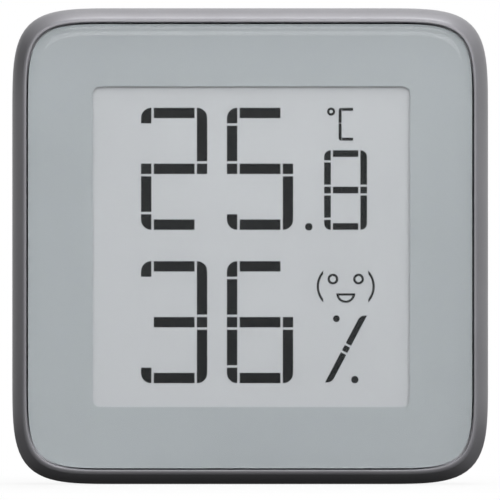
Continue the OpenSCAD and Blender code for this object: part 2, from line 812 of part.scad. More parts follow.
module battery_door() {
    pip_r = 0.8;
    pip_ring = cell_d / 3;
    color(cover_colour) at_battery() {
        difference() {
            union() {
                translate([0, 0, door_z0]) cylinder(r = door_r, h = flange_t);
                translate([0, 0, door_z0]) cylinder(r = plug_r, h = lug_z1 - door_z0);
                bayonet(plug_r - cup_wall / 2, lug_r, lug_z0, lug_z1, lug_start, lug_angle);
            }
            translate([0, 0, door_z0 + door_t]) cylinder(r = cup_r, h = lug_z1 - door_z0);
            translate([0, 0, door_z0 + slot_d - coin_r]) rotate([90, 0, 0])
                cylinder(r = coin_r, h = slot_w, center = true);
        }
        for (i = [0:2]) rotate([0, 0, 120 * i + 90]) translate([pip_ring, 0, door_z0 + door_t - pip_h])
            cylinder(r = pip_r, h = 2 * pip_h);
    }
}

// Plan of the stand: rounded corners at the foot, square at the hinge
module stand_plan(half_w, bottom, top, r) {
    soft_band(2 * half_w, bottom, top, r);
    translate([-half_w, (bottom + top) / 2]) square([2 * half_w, (top - bottom) / 2]);
}

// Room for the stand, with the deeper bay where its barrel turns
module stand_pocket() {
    translate([0, 0, rear_z - over]) linear_extrude(pocket_z - rear_z + over)
        stand_plan(pocket_half, pocket_bottom, pocket_top, stand_corner + move_gap);
    translate([-pocket_half, bay_bottom, rear_z - over])
        cube([2 * pocket_half, pocket_top - bay_bottom, bay_z - rear_z + over]);
}

// Walls of that room inside the rear cover
module stand_housing() {
    side = pocket_half + pin_seat + pocket_wall;
    bottom = pocket_bottom - wall / 2;
    translate([-side, bottom, rear_in_z - rear_t / 2])
        cube([2 * side, pocket_top + pocket_wall - bottom, pocket_z + pocket_wall - rear_in_z + rear_t / 2]);
    translate([-side, bay_bottom - pocket_wall, rear_in_z - rear_t / 2])
        cube([2 * side, pocket_top - bay_bottom + 2 * pocket_wall, bay_z + pocket_wall - rear_in_z + rear_t / 2]);
}

// Vent slots of one side, around its own middle
module vent_slots() {
    for (i = [0:vent_count - 1]) translate([0, (i - (vent_count - 1) / 2) * vent_pitch])
        soft_rect(vent_len, vent_w, 0.49 * vent_w);
}

// Rear half of the housing: shell, lip with snap beads, door seat, stand pocket and vents
module rear_cover() {
    guide_r = button_r + button_flange + move_gap;
    guide_h = button_flange_t + rest_gap + 2 * move_gap;
    magnet_top = rear_z + magnet_skin + magnet_h;
    color(cover_colour) difference() {
        union() {
            difference() {
                loft(concat(
                    [for (i = [0:round_steps])
                        let (turn = 90 * i / round_steps)
                        [rear_round * (1 - sin(turn)), rear_z + rear_round * (1 - cos(turn))]],
                    [[0, split_z - reveal], [reveal, split_z - reveal], [reveal, split_z]]));
                slab(wall, rear_in_z, split_z + over);
            }
            outline_wall(wall - lip_t / 2, lip_in, split_z - lip_root, split_z);
            outline_wall(lip_out, lip_in, split_z - lip_root, split_z + lip_h);
            side_bars(lip_out, split_z + lip_h / 2, bead_r, bead_len);
            stand_housing();
            both_sides(magnet_x, magnet_y) translate([0, 0, rear_in_z - rear_t / 2])
                cylinder(r = magnet_r + fit_gap + cup_t, h = magnet_top - rear_in_z + rear_t / 2 + move_gap);
            at_button() translate([0, 0, rear_in_z - rear_t / 2])
                cylinder(r = guide_r + cup_t, h = guide_h + rear_t / 2);
            at_battery() for (start = [lug_start + lug_angle + notch_slack,
                    lug_start - door_turn - stop_slack - stop_angle])
                bayonet(hole_r + move_gap, lug_r, rear_in_z - rear_t / 4, lug_z1, start, stop_angle);
        }
        at_battery() {
            translate([0, 0, rear_z - over]) cylinder(r = seat_r, h = seat_z - rear_z + over);
            translate([0, 0, rear_z - over]) cylinder(r = hole_r, h = rear_t + 2 * over);
            bayonet(hole_r - over, lug_r + move_gap, rear_z, rear_in_z + fit_gap / 2,
                lug_start - door_turn - notch_slack, lug_angle + 2 * notch_slack);
        }
        stand_pocket();
        translate([0, stand_y, stand_z]) rotate([0, 90, 0])
            cylinder(r = pin_r + pin_gap, h = 2 * (pocket_half + pin_seat + move_gap), center = true);
        translate([0, -half, rear_z]) rotate([0, 90, 0]) cylinder(r = notch_r, h = notch_len, center = true);
        both_sides(vent_x, vent_mid) translate([0, 0, rear_z - over]) linear_extrude(rear_t + 2 * over) vent_slots();
        both_sides(magnet_x, magnet_y) translate([0, 0, rear_z + magnet_skin])
            cylinder(r = magnet_r + fit_gap, h = magnet_h + rear_t);
        at_button() {
            translate([0, 0, rear_z - over]) cylinder(r = button_r + fit_gap, h = rear_t + 2 * over);
            translate([0, 0, rear_in_z]) cylinder(r = guide_r, h = guide_h + over);
        }
    }
}

// Leg: flat plate, barrel round the pin, and the heel that stops against the bay
module stand_leg() {
    web = 1.2;
    frame = 3;
    plate_end = foot_y - stand_y;
    color(cover_colour) translate([0, stand_y, stand_z]) difference() {
        union() {
            intersection() {
                across(stand_w) translate([plate_end, -stand_out]) square([heel_h - plate_end, stand_t]);
                translate([0, 0, -barrel_r - over]) linear_extrude(2 * (barrel_r + over))
                    stand_plan(stand_w / 2, plate_end, heel_h, stand_corner);
            }
            rotate([0, 90, 0]) cylinder(r = barrel_r, h = stand_w, center = true);
        }
        rotate([0, 90, 0]) cylinder(r = pin_r + pin_gap, h = stand_w + 2 * over, center = true);
        translate([-pad_len / 2, plate_end - over, (stand_in - stand_out - pad_t) / 2])
            cube([pad_len, pad_d + over, pad_t]);
        translate([0, 0, web - stand_out]) linear_extrude(stand_t)
            soft_band(stand_w - 2 * frame, plate_end + pad_d + 1.5, -barrel_r - frame / 2, 1);
    }
}

module hinge_pin() {
    length = 2 * (pocket_half + pin_seat);
    edge = 0.15;
    color(steel_colour) translate([0, stand_y, stand_z]) rotate([0, 90, 0]) rotate_extrude()
        polygon([[0, -length / 2], [pin_r - edge, -length / 2], [pin_r, -length / 2 + edge],
            [pin_r, length / 2 - edge], [pin_r - edge, length / 2], [0, length / 2]]);
}

module stand_pad() {
    color(dark_colour) translate([-pad_len / 2, foot_y - pad_proud, stand_z + (stand_in - stand_out - pad_t) / 2])
        cube([pad_len, pad_d + pad_proud, pad_t]);
}

module magnets() {
    edge = 0.2;
    color(steel_colour) both_sides(magnet_x, magnet_y) translate([0, 0, rear_z + magnet_skin]) rotate_extrude()
        polygon([[0, 0], [magnet_r - edge, 0], [magnet_r, edge], [magnet_r, magnet_h - edge],
            [magnet_r - edge, magnet_h], [0, magnet_h]]);
}

module vent_membrane() {
    height = (vent_count - 1) * vent_pitch + vent_w + 2 * membrane_margin;
    color("#D7DADB") both_sides(vent_x, vent_mid) translate([0, 0, rear_in_z]) linear_extrude(membrane_t)
        soft_rect(vent_len + 2 * membrane_margin, height, membrane_margin);
}

stand_up() front_frame();
stand_up() front_lens();
stand_up() mask_film();
stand_up() lens_tape();
stand_up() display_gasket();
stand_up() epaper_film();
stand_up() backplane();
stand_up() display_flex();
stand_up() flex_connector();
stand_up() display_foam();
stand_up() display_carrier();
stand_up() circuit_board();
stand_up() board_screws();
stand_up() radio_chip();
stand_up() crystal();
stand_up() antenna_trace();
stand_up() chip_parts();
stand_up() climate_sensor();
stand_up() switch_body();
stand_up() switch_plunger();
stand_up() unit_button();
stand_up() battery_holder();
stand_up() positive_contact();
stand_up() negative_contact();
stand_up() coin_cell();
stand_up() rear_cover();
stand_up() battery_door();
stand_up() stand_leg();
stand_up() hinge_pin();
stand_up() stand_pad();
stand_up() magnets();
stand_up() vent_membrane();
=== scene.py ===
"""Looks of a square room sensor with an e-paper display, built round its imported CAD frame.

Lengths are metres in the frame of the CAD: X runs to the right of the screen, Y from the screen to
the rear, and Z up from the base.
"""

import logging
import math
from contextlib import contextmanager
from dataclasses import dataclass
from enum import Enum
from typing import Callable, Iterator

import bmesh
import bpy
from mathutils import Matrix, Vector


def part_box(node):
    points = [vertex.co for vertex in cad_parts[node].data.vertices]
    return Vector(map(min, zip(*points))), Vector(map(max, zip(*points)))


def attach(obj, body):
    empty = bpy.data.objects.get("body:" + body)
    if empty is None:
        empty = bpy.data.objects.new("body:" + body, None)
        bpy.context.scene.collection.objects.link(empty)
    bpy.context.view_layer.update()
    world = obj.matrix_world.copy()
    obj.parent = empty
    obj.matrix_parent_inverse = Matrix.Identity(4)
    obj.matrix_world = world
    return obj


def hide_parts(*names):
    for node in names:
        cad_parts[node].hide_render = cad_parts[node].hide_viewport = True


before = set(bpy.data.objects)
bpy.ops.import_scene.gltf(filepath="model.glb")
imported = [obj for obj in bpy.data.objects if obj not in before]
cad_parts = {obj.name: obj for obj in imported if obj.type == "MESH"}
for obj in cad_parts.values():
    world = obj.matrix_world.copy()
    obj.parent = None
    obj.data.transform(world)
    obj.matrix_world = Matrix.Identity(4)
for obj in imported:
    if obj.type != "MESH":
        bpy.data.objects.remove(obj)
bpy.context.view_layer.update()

MM = 0.001
GLASS_GAP = 0.4 * MM
LEVEL_SLACK = 0.001 * MM
FACING_LEAST = 0.99
NOISE_LOW = 0.3
NOISE_HIGH = 0.7
WAVE_SCALE = 0.314
LOG = logging.getLogger("room_sensor")


class Facing(Enum):
    """Turn about X that makes a flat primitive face the screen side or the rear."""

    SCREEN = math.pi / 2
    REAR = -math.pi / 2

    @property
    def way(self) -> float:
        """Sign of such a face's normal along Y."""
        return -1.0 if self is Facing.SCREEN else 1.0


class Along(Enum):
    """Turn that lays a cylinder along an axis."""

    X = (0.0, math.pi / 2, 0.0)
    Y = (math.pi / 2, 0.0, 0.0)
    Z = (0.0, 0.0, 0.0)


class Element(Enum):
    """Kind of mesh element that a selection is made of."""

    VERT = "verts"
    EDGE = "edges"
    FACE = "faces"


class Mix(Enum):
    """What a Boolean does with its tool."""

    CUT = "DIFFERENCE"
    FUSE = "UNION"


def deselect() -> None:
    """Leaves edit mode and clears the selection."""
    if bpy.context.mode != "OBJECT":
        bpy.ops.object.mode_set(mode="OBJECT")
    bpy.ops.object.select_all(action="DESELECT")


def pick(piece: bpy.types.Object) -> None:
    """Makes one piece the active and only selected one.

    Args:
        piece: Object to pick.
    """
    deselect()
    bpy.context.view_layer.objects.active = piece
    piece.select_set(True)


@contextmanager
def editing(piece: bpy.types.Object) -> Iterator[None]:
    """Opens one piece alone in edit mode, with all of it selected.

    Args:
        piece: Mesh object to edit.
    """
    pick(piece)
    bpy.ops.object.mode_set(mode="EDIT")
    bpy.ops.mesh.select_mode(type="FACE")
    bpy.ops.mesh.select_all(action="SELECT")
    yield
    bpy.ops.object.mode_set(mode="OBJECT")


def choose(kind: Element, test: Callable[..., bool]) -> None:
    """Selects what passes a test in the mesh that is open in edit mode.

    Args:
        kind: Kind of element to select.
        test: Takes one element and says if it belongs to the selection.
    """
    bpy.ops.mesh.select_mode(type=kind.name)
    bpy.ops.mesh.select_all(action="DESELECT")
    data = bpy.context.edit_object.data
    mesh = bmesh.from_edit_mesh(data)
    mesh.normal_update()
    for item in getattr(mesh, kind.value):
        item.select_set(bool(test(item)))
    mesh.select_flush_mode()
    bmesh.update_edit_mesh(data)


def faces_at(level: float, facing: Facing) -> Callable[..., bool]:
    """Makes a test for faces that lie at a level of Y.

    Args:
        level: The level in metres.
        facing: Side that the faces look to.

    Returns:
        Test for choose().
    """
    return lambda face: (abs(face.calc_center_median().y - level) < LEVEL_SLACK
                         and face.normal.y * facing.way > FACING_LEAST)


def push(distance: float) -> None:
    """Extrudes the selected faces along Y."""
    bpy.ops.mesh.extrude_region_move(TRANSFORM_OT_translate={"value": (0.0, distance, 0.0)})


def face_out() -> None:
    """Turns all faces of the open mesh outwards."""
    bpy.ops.mesh.select_all(action="SELECT")
    bpy.ops.mesh.normals_make_consistent(inside=False)


def round_corners(test: Callable[..., bool], radius: float, steps: int, profile: float = 0.5) -> None:
    """Rounds corners of the flat mesh that is open in edit mode, then selects all of it.

    Args:
        test: Takes a corner and says if it is rounded.
        radius: How far the rounding reaches from the corner.
        steps: Number of its segments.
        profile: Its shape, where 0.5 is an arc and 1 is square.
    """
    choose(Element.VERT, test)
    bpy.ops.mesh.bevel(offset=radius, affect="VERTICES", segments=steps, profile=profile,
                       clamp_overlap=False)
    bpy.ops.mesh.select_mode(type="FACE")
    bpy.ops.mesh.select_all(action="SELECT")


def round_edge(width: float, depth: float, steps: int) -> None:
    """Rounds off the rim of the selected face by insets along a quarter ellipse.

    Args:
        width: How far the edge runs in.
        depth: How far it rises.
        steps: Number of insets.
    """
    turns = [math.pi / 2 * step / steps for step in range(steps + 1)]
    for start, end in zip(turns, turns[1:]):
        bpy.ops.mesh.inset(thickness=width * (math.cos(start) - math.cos(end)),
                           depth=depth * (math.sin(end) - math.sin(start)))


def round_rings(inset: float, level: float, width: float, depth: float,
                steps: int) -> list[tuple[float, float]]:
    """Gives the rings of an outer edge that is rounded along a quarter ellipse.

    Args:
        inset: Inset of the side that the edge starts from.
        level: Level of the face that it ends in.
        width: How far the edge runs in.
        depth: How far along Y the edge starts before the face, with its sign.
        steps: Number of rings after the first.

    Returns:
        Inset and level of each ring.
    """
    turns = [math.pi / 2 * step / steps for step in range(steps + 1)]
    return [(inset + width * (1 - math.cos(turn)), level + depth * (1 - math.sin(turn)))
            for turn in turns]


def settle(name: str) -> bpy.types.Object:
    """Names the new primitive and puts its place into its mesh.

    Args:
        name: Name of the piece.

    Returns:
        The piece.
    """
    piece = bpy.context.object
    piece.name = name
    bpy.ops.object.transform_apply(location=True, rotation=True, scale=True)
    return piece


def plate(name: str, low: tuple[float, float], high: tuple[float, float], level: float,
          facing: Facing, tilt: float = 0.0) -> bpy.types.Object:
    """Adds a flat rectangle across Y.

    Args:
        name: Name of the piece.
        low: Lowest X and Z.
        high: Highest X and Z.
        level: Place along Y.
        facing: Side that it looks to.
        tilt: Turn about Y, in radians.

    Returns:
        The plate.
    """
    deselect()
    middle = ((low[0] + high[0]) / 2, level, (low[1] + high[1]) / 2)
    bpy.ops.mesh.primitive_plane_add(size=1.0, location=middle, rotation=(facing.value, tilt, 0.0))
    bpy.context.object.scale = (high[0] - low[0], high[1] - low[1], 1.0)
    return settle(name)


def disc(name: str, centre: tuple[float, float], radius: float, level: float, facing: Facing,
         sides: int = 96) -> bpy.types.Object:
    """Adds a flat disc across Y.

    Args:
        name: Name of the piece.
        centre: X and Z of its middle.
        radius: Its radius.
        level: Place along Y.
        facing: Side that it looks to.
        sides: Number of its sides.

    Returns:
        The disc.
    """
    deselect()
    bpy.ops.mesh.primitive_circle_add(vertices=sides, radius=radius, fill_type="NGON",
                                      location=(centre[0], level, centre[1]),
                                      rotation=(facing.value, 0.0, 0.0))
    return settle(name)


def rod(name: str, middle: tuple[float, float, float], radius: float, length: float, along: Along,
        sides: int = 64) -> bpy.types.Object:
    """Adds a cylinder, mostly as a tool that is cut from a piece or fused to it.

    Args:
        name: Name of the tool.
        middle: Its middle.
        radius: Its radius.
        length: Its length.
        along: Axis that it lies along.
        sides: Number of its sides.

    Returns:
        The cylinder.
    """
    deselect()
    bpy.ops.mesh.primitive_cylinder_add(vertices=sides, radius=radius, depth=length, location=middle,
                                        rotation=along.value)
    return settle(name)


def block(name: str, low: tuple[float, float, float],
          high: tuple[float, float, float]) -> bpy.types.Object:
    """Adds a box, as a tool or as the start of a piece.

    Args:
        name: Name of the box.
        low: Lowest corner.
        high: Highest corner.

    Returns:
        The box.
    """
    deselect()
    middle = [(a + b) / 2 for a, b in zip(low, high)]
    bpy.ops.mesh.primitive_cube_add(size=1.0, location=middle)
    bpy.context.object.scale = [b - a for a, b in zip(low, high)]
    return settle(name)


def soft_block(name: str, low: tuple[float, float], high: tuple[float, float], start: float,
               end: float, radius: float, corners: Callable[..., bool] = lambda vert: True,
               steps: int = 10) -> bpy.types.Object:
    """Adds a block along Y whose plan has rounded corners.

    Args:
        name: Name of the block.
        low: Lowest X and Z.
        high: Highest X and Z.
        start: Level that it starts from.
        end: Level that it ends at, further to the rear.
        radius: Radius of the corners.
        corners: Test for the corners that are rounded.
        steps: Number of segments of each.

    Returns:
        The block.
    """
    piece = plate(name, low, high, start, Facing.SCREEN)
    with editing(piece):
        round_corners(corners, radius, steps)
        push(end - start)
        face_out()
    return piece


def combine(piece: bpy.types.Object, tool: bpy.types.Object, mix: Mix) -> None:
    """Cuts a tool from a piece or fuses it to the piece, and removes the tool.

    Args:
        piece: Piece that is changed.
        tool: Closed mesh.
        mix: What happens with the tool.
    """
    pick(piece)
    step = piece.modifiers.new(mix.name.lower(), "BOOLEAN")
    step.operation = mix.value
    step.solver = "EXACT"
    step.object = tool
    bpy.ops.object.modifier_apply(modifier=step.name)
    bpy.data.objects.remove(tool)


def break_edges(piece: bpy.types.Object, width: float, sharp: float = 40.0, steps: int = 3) -> None:
    """Rounds the sharp edges of a moulded piece and evens out its shading.

    Args:
        piece: Finished shape.
        width: Width of the rounding.
        sharp: Angle in degrees from which an edge counts as sharp.
        steps: Number of segments of the rounding.
    """
    pick(piece)
    rounding = piece.modifiers.new("edges", "BEVEL")
    rounding.width = width
    rounding.segments = steps
    rounding.limit_method = "ANGLE"
    rounding.angle_limit = math.radians(sharp)
    bpy.ops.object.modifier_apply(modifier=rounding.name)
    bpy.ops.object.shade_smooth_by_angle(angle=math.radians(sharp))
    shading = piece.modifiers.new("shading", "WEIGHTED_NORMAL")
    shading.keep_sharp = True
    bpy.ops.object.modifier_apply(modifier=shading.name)


def linear(colour: str) -> tuple[float, float, float, float]:
    """Turns an sRGB hex value into linear light.

    Args:
        colour: Colour as #RRGGBB.

    Returns:
        Linear red, green, blue and full alpha.
    """
    shares = [int(colour[i:i + 2], 16) / 255 for i in (1, 3, 5)]
    light = [s / 12.92 if s <= 0.04045 else ((s + 0.055) / 1.055) ** 2.4 for s in shares]
    return light[0], light[1], light[2], 1.0


def put(tree: bpy.types.NodeTree, kind: str, settings: dict | None = None,
        inputs: dict | None = None) -> bpy.types.Node:
    """Adds a shader node with its settings and its inputs.

    Args:
        tree: Node tree that gets it.
        kind: Type of node, without its ShaderNode prefix.
        settings: Values of its own properties.
        inputs: Value, or socket to link, for each of its inputs.

    Returns:
        The node.
    """
    made = tree.nodes.new("ShaderNode" + kind)
    for name, value in (settings or {}).items():
        setattr(made, name, value)
    for name, value in (inputs or {}).items():
        if isinstance(value, bpy.types.NodeSocket):
            tree.links.new(value, made.inputs[name])
        else:
            made.inputs[name].default_value = value
    return made


def fresh_tree(owner: bpy.types.Material | bpy.types.World) -> bpy.types.NodeTree:
    """Gives a material or a world an empty node tree.

    Args:
        owner: The material or the world.

    Returns:
        Its node tree.
    """
    owner.use_nodes = True
    owner.node_tree.nodes.clear()
    return owner.node_tree


def calc(tree: bpy.types.NodeTree, operation: str,
         *values: bpy.types.NodeSocket | float) -> bpy.types.NodeSocket:
    """Adds a step of arithmetic.

    Args:
        tree: Node tree that gets it.
        operation: Kind of step.
        values: Its values, in order.

    Returns:
        Socket with the result.
    """
    return put(tree, "Math", {"operation": operation}, dict(enumerate(values))).outputs[0]


def noise(tree: bpy.types.NodeTree, place: bpy.types.NodeSocket, size: float, layers: float,
          keep: float = 0.5) -> bpy.types.NodeSocket:
    """Adds a cloudy pattern.

    Args:
        tree: Node tree that gets it.
        place: Coordinates.
        size: Size of its largest clouds.
        layers: Number of finer layers.
        keep: Share of its strength that each finer layer keeps.

    Returns:
        Socket with the pattern.
    """
    return put(tree, "TexNoise", inputs={"Vector": place, "Scale": 1 / size, "Detail": layers,
                                         "Roughness": keep}).outputs["Fac"]


def spread(tree: bpy.types.NodeTree, value: bpy.types.NodeSocket, start: float, end: float,
           low: float = 0.0, high: float = 1.0) -> bpy.types.NodeSocket:
    """Maps one range of values to another.

    Args:
        tree: Node tree that gets it.
        value: Value that is mapped.
        start: Value that gives low.
        end: Value that gives high.
        low: Result at the start.
        high: Result at the end.

    Returns:
        Socket with the result.
    """
    return put(tree, "MapRange", inputs={"Value": value, "From Min": start, "From Max": end,
                                         "To Min": low, "To Max": high}).outputs["Result"]


def between(tree: bpy.types.NodeTree, share: bpy.types.NodeSocket, first: bpy.types.NodeSocket | float,
            second: bpy.types.NodeSocket | float) -> bpy.types.NodeSocket:
    """Mixes two values.

    Args:
        tree: Node tree that gets it.
        share: Share of the second value.
        first: First value.
        second: Second value.

    Returns:
        Socket with the mixed value.
    """
    return put(tree, "Mix", {"data_type": "FLOAT"}, {0: share, 2: first, 3: second}).outputs[0]


def two_tone(tree: bpy.types.NodeTree, share: bpy.types.NodeSocket, first: str,
             second: str) -> bpy.types.NodeSocket:
    """Mixes two tones of a finish.

    Args:
        tree: Node tree that gets it.
        share: Share of the second tone.
        first: First tone as #RRGGBB.
        second: Second tone as #RRGGBB.

    Returns:
        Socket with the mixed colour.
    """
    return put(tree, "Mix", {"data_type": "RGBA"}, {0: share, 6: linear(first),
                                                    7: linear(second)}).outputs[2]


def tooth(tree: bpy.types.NodeTree, height: bpy.types.NodeSocket, strength: float,
          depth: float) -> bpy.types.NodeSocket:
    """Adds the fine relief of a surface.

    Args:
        tree: Node tree that gets it.
        height: Pattern of the relief.
        strength: Share of it that shows.
        depth: Its depth.

    Returns:
        Socket with the bent normal.
    """
    return put(tree, "Bump", inputs={"Height": height, "Strength": strength,
                                     "Distance": depth}).outputs["Normal"]


@dataclass(frozen=True)
class Finish:
    """Surface finish that is made into a material once."""

    name: str

    def material(self) -> bpy.types.Material:
        """Gives the finish's material, which is made at the first call.

        Returns:
            The material.
        """
        made = bpy.data.materials.get(self.name)
        if made is None:
            made = bpy.data.materials.new(self.name)
            tree = fresh_tree(made)
            put(tree, "OutputMaterial", inputs={"Surface": self.surface(tree).outputs[0]})
        return made

    def surface(self, tree: bpy.types.NodeTree) -> bpy.types.Node:
        """Builds the shader.

        Args:
            tree: Node tree of the material.

        Returns:
            Node whose first output is the surface.
        """
        raise NotImplementedError


@dataclass(frozen=True)
class GrainedBody(Finish):
    """Moulded plastic or epoxy, or a fired or cast body, with a fine even grain.

    The grain of a spark-eroded tool breaks up the gloss, and the melt cools to a faint cloudy change of
    shade. Metal flake in the plastic, where it has any, gives its edges a soft metal sheen. The grain is
    finer than the render shows on most parts, so it is drawn a little coarse.
    """

    colour: str
    shade: str
    roughness: float = 0.46
    grain: float = 0.22 * MM
    relief: float = 0.004 * MM
    cloud: float = 9.0 * MM
    flake: float = 0.0
    ior: float = 1.53
    grain_layers: float = 3.0
    grain_keep: float = 0.6
    cloud_layers: float = 2.0
    gloss_play: float = 0.05
    strength: float = 0.5

    def surface(self, tree: bpy.types.NodeTree) -> bpy.types.Node:
        """Builds grain, clouding and satin gloss.

        Args:
            tree: Node tree of the material.

        Returns:
            The shader's last node.
        """
        place = put(tree, "TexCoord").outputs["Object"]
        grain = noise(tree, place, self.grain, self.grain_layers, self.grain_keep)
        cloud = spread(tree, noise(tree, place, self.cloud, self.cloud_layers), NOISE_LOW, NOISE_HIGH)
        gloss = spread(tree, grain, NOISE_LOW, NOISE_HIGH, self.roughness - self.gloss_play,
                       self.roughness + self.gloss_play)
        return put(tree, "BsdfPrincipled", inputs={
            "Base Color": two_tone(tree, cloud, self.colour, self.shade), "Roughness": gloss,
            "Normal": tooth(tree, grain, self.strength, self.relief), "IOR": self.ior,
            "Metallic": self.flake})


@dataclass(frozen=True)
class ClearAcrylic(Finish):
    """Cast acrylic window with a fine anti-glare face, printed on its back.

    It shows the print a little softly, takes a broad highlight along its rounded edge, and is very
    slightly wavy. The print touches its back, so the back gives no second reflection.
    """

    colour: str = "#FCFDFD"
    roughness: float = 0.2
    ior: float = 1.49
    wave: float = 14.0 * MM
    wave_layers: float = 1.0
    relief: float = 0.001 * MM
    strength: float = 0.2

    def surface(self, tree: bpy.types.NodeTree) -> bpy.types.Node:
        """Builds clear refraction that lets the lamps through to the display.

        Args:
            tree: Node tree of the material.

        Returns:
            The shader's last node.
        """
        place = put(tree, "TexCoord").outputs["Object"]
        wave = noise(tree, place, self.wave, self.wave_layers)
        inside = put(tree, "NewGeometry").outputs["Backfacing"]
        clear = put(tree, "BsdfPrincipled", inputs={
            "Base Color": linear(self.colour), "Roughness": self.roughness,
            "IOR": calc(tree, "MULTIPLY_ADD", inside, 1.0 - self.ior, self.ior),
            "Transmission Weight": 1.0, "Normal": tooth(tree, wave, self.strength, self.relief)})
        open_air = put(tree, "BsdfTransparent")
        path = put(tree, "LightPath")
        return put(tree, "MixShader", inputs={0: path.outputs["Is Shadow Ray"], 1: clear.outputs[0],
                                              2: open_air.outputs[0]})


@dataclass(frozen=True)
class PrintedFilm(Finish):
    """Layer with fine grains of pigment: screen print, e-paper capsules or ink.

    The grains are smaller than a pixel of the photo, so they are drawn coarse enough to give the
    surface a faint tooth.
    """

    colour: str
    grain_colour: str
    roughness: float = 0.6
    grain: float = 0.3 * MM
    drift: float = 30.0 * MM
    shine: float = 0.2
    grain_layers: float = 2.0
    drift_layers: float = 1.0
    thin: float = 0.1
    full: float = 0.4
    gloss_play: float = 0.05

    def surface(self, tree: bpy.types.NodeTree) -> bpy.types.Node:
        """Builds pigment grain over a slow drift of tone.

        Args:
            tree: Node tree of the material.

        Returns:
            The shader's last node.
        """
        place = put(tree, "TexCoord").outputs["Object"]
        grain = noise(tree, place, self.grain, self.grain_layers)
        drift = noise(tree, place, self.drift, self.drift_layers)
        share = spread(tree, calc(tree, "MULTIPLY", grain, drift), self.thin, self.full)
        gloss = spread(tree, grain, 0.0, 1.0, self.roughness - self.gloss_play,
                       self.roughness + self.gloss_play)
        return put(tree, "BsdfPrincipled", inputs={
            "Base Color": two_tone(tree, share, self.colour, self.grain_colour), "Roughness": gloss,
            "Specular IOR Level": self.shine})


@dataclass(frozen=True)
class WorkedMetal(Finish):
    """Sheet or turned metal with the fine lines of its tool, which draw out its highlights."""

    colour: str
    dark: str
    roughness: float = 0.3
    line: float = 0.12 * MM
    stretch: tuple[float, float, float] = (1.0, 1.0, 0.05)
    line_layers: float = 2.0
    brighter: float = 0.08
    duller: float = 0.1

    def surface(self, tree: bpy.types.NodeTree) -> bpy.types.Node:
        """Builds tool lines in tone and gloss.

        Args:
            tree: Node tree of the material.

        Returns:
            The shader's last node.
        """
        place = put(tree, "TexCoord").outputs["Object"]
        drawn = put(tree, "Mapping", inputs={"Vector": place, "Scale": self.stretch}).outputs["Vector"]
        lines = noise(tree, drawn, self.line, self.line_layers)
        gloss = spread(tree, lines, 0.0, 1.0, self.roughness - self.brighter,
                       self.roughness + self.duller)
        return put(tree, "BsdfPrincipled", inputs={
            "Base Color": two_tone(tree, lines, self.dark, self.colour), "Metallic": 1.0,
            "Roughness": gloss})


@dataclass(frozen=True)
class CellFoam(Finish):
    """Closed-cell foam or rubber, dull, with small pits where its cells are cut open and painted shade in
    them.
    """

    colour: str
    # Darker tone painted at the bottom of each pit: painted shade.
    pit_painted_shade: str
    cell: float = 0.35 * MM
    relief: float = 0.05 * MM
    roughness: float = 0.9
    strength: float = 0.6
    shine: float = 0.3

    def surface(self, tree: bpy.types.NodeTree) -> bpy.types.Node:
        """Builds the cells as pits, with painted shade that darkens each pit towards its bottom.

        Args:
            tree: Node tree of the material.

        Returns:
            The shader's last node.
        """
        place = put(tree, "TexCoord").outputs["Object"]
        cells = put(tree, "TexVoronoi", inputs={"Vector": place,
                                                "Scale": 1 / self.cell}).outputs["Distance"]
        return put(tree, "BsdfPrincipled", inputs={
            # The pits' darker tone is painted shade, not a colour of the material.
            "Base Color": two_tone(tree, cells, self.pit_painted_shade, self.colour),
            "Roughness": self.roughness, "Normal": tooth(tree, cells, self.strength, self.relief),
            "Specular IOR Level": self.shine})


@dataclass(frozen=True)
class WovenSheet(Finish):
    """Sheet with crossed threads or printed lines, as in filter cloth, glass laminate or a ribbon."""

    colour: str
    line_colour: str
    pitch: float
    crossed: bool = True
    roughness: float = 0.6
    relief: float = 0.02 * MM
    strength: float = 0.4

    def surface(self, tree: bpy.types.NodeTree) -> bpy.types.Node:
        """Builds one or two sets of lines.

        Args:
            tree: Node tree of the material.

        Returns:
            The shader's last node.
        """
        place = put(tree, "TexCoord").outputs["Object"]
        waves = {"Vector": place, "Scale": WAVE_SCALE / self.pitch}
        lines = put(tree, "TexWave", {"bands_direction": "X"}, waves).outputs["Fac"]
        if self.crossed:
            other = put(tree, "TexWave", {"bands_direction": "Z"}, waves).outputs["Fac"]
            lines = calc(tree, "MAXIMUM", lines, other)
        return put(tree, "BsdfPrincipled", inputs={
            "Base Color": two_tone(tree, lines, self.line_colour, self.colour),
            "Roughness": self.roughness, "Normal": tooth(tree, lines, self.strength, self.relief)})


FRAME_ABS = GrainedBody("moulded_abs_frame", "#A3A2A7", "#9E9DA2", roughness=0.4, flake=0.5)
COVER_ABS = GrainedBody("moulded_abs_cover", "#929196", "#8D8C91", roughness=0.5, grain=0.35 * MM,
                        relief=0.012 * MM)
BUTTON_ABS = GrainedBody("moulded_abs_button", "#929197", "#8C8B91", roughness=0.38)
CLEAR_ACRYLIC = ClearAcrylic("cast_acrylic_lens")
MASK_PRINT = PrintedFilm("screen_printed_border", "#A4A9AC", "#9EA3A6")
EPAPER = PrintedFilm("epaper_capsule_film", "#BABCBF", "#B4B6B9", grain=0.22 * MM)
EPAPER_INK = PrintedFilm("epaper_dark_state", "#0C0F11", "#131617", grain=0.22 * MM, shine=0.05)
DISPLAY_GLASS = GrainedBody("display_backplane_glass", "#5E6C70", "#57656A", roughness=0.12,
                            relief=0.0005 * MM)
POLYIMIDE = WovenSheet("polyimide_ribbon", "#B8741F", "#8A4F14", pitch=0.5 * MM, crossed=False,
                       roughness=0.35)
# The second colour of each foam and rubber is painted shade in its pits.
BLACK_FOAM = CellFoam("closed_cell_foam", "#26282A", "#111213")
PAD_RUBBER = CellFoam("moulded_rubber_pad", "#333638", "#232527", cell=0.5 * MM, relief=0.01 * MM,
                      roughness=0.8)
BOARD_LAMINATE = WovenSheet("glass_laminate_board", "#1F6B45", "#1A5E3C", pitch=0.6 * MM, roughness=0.35,
                            relief=0.004 * MM)
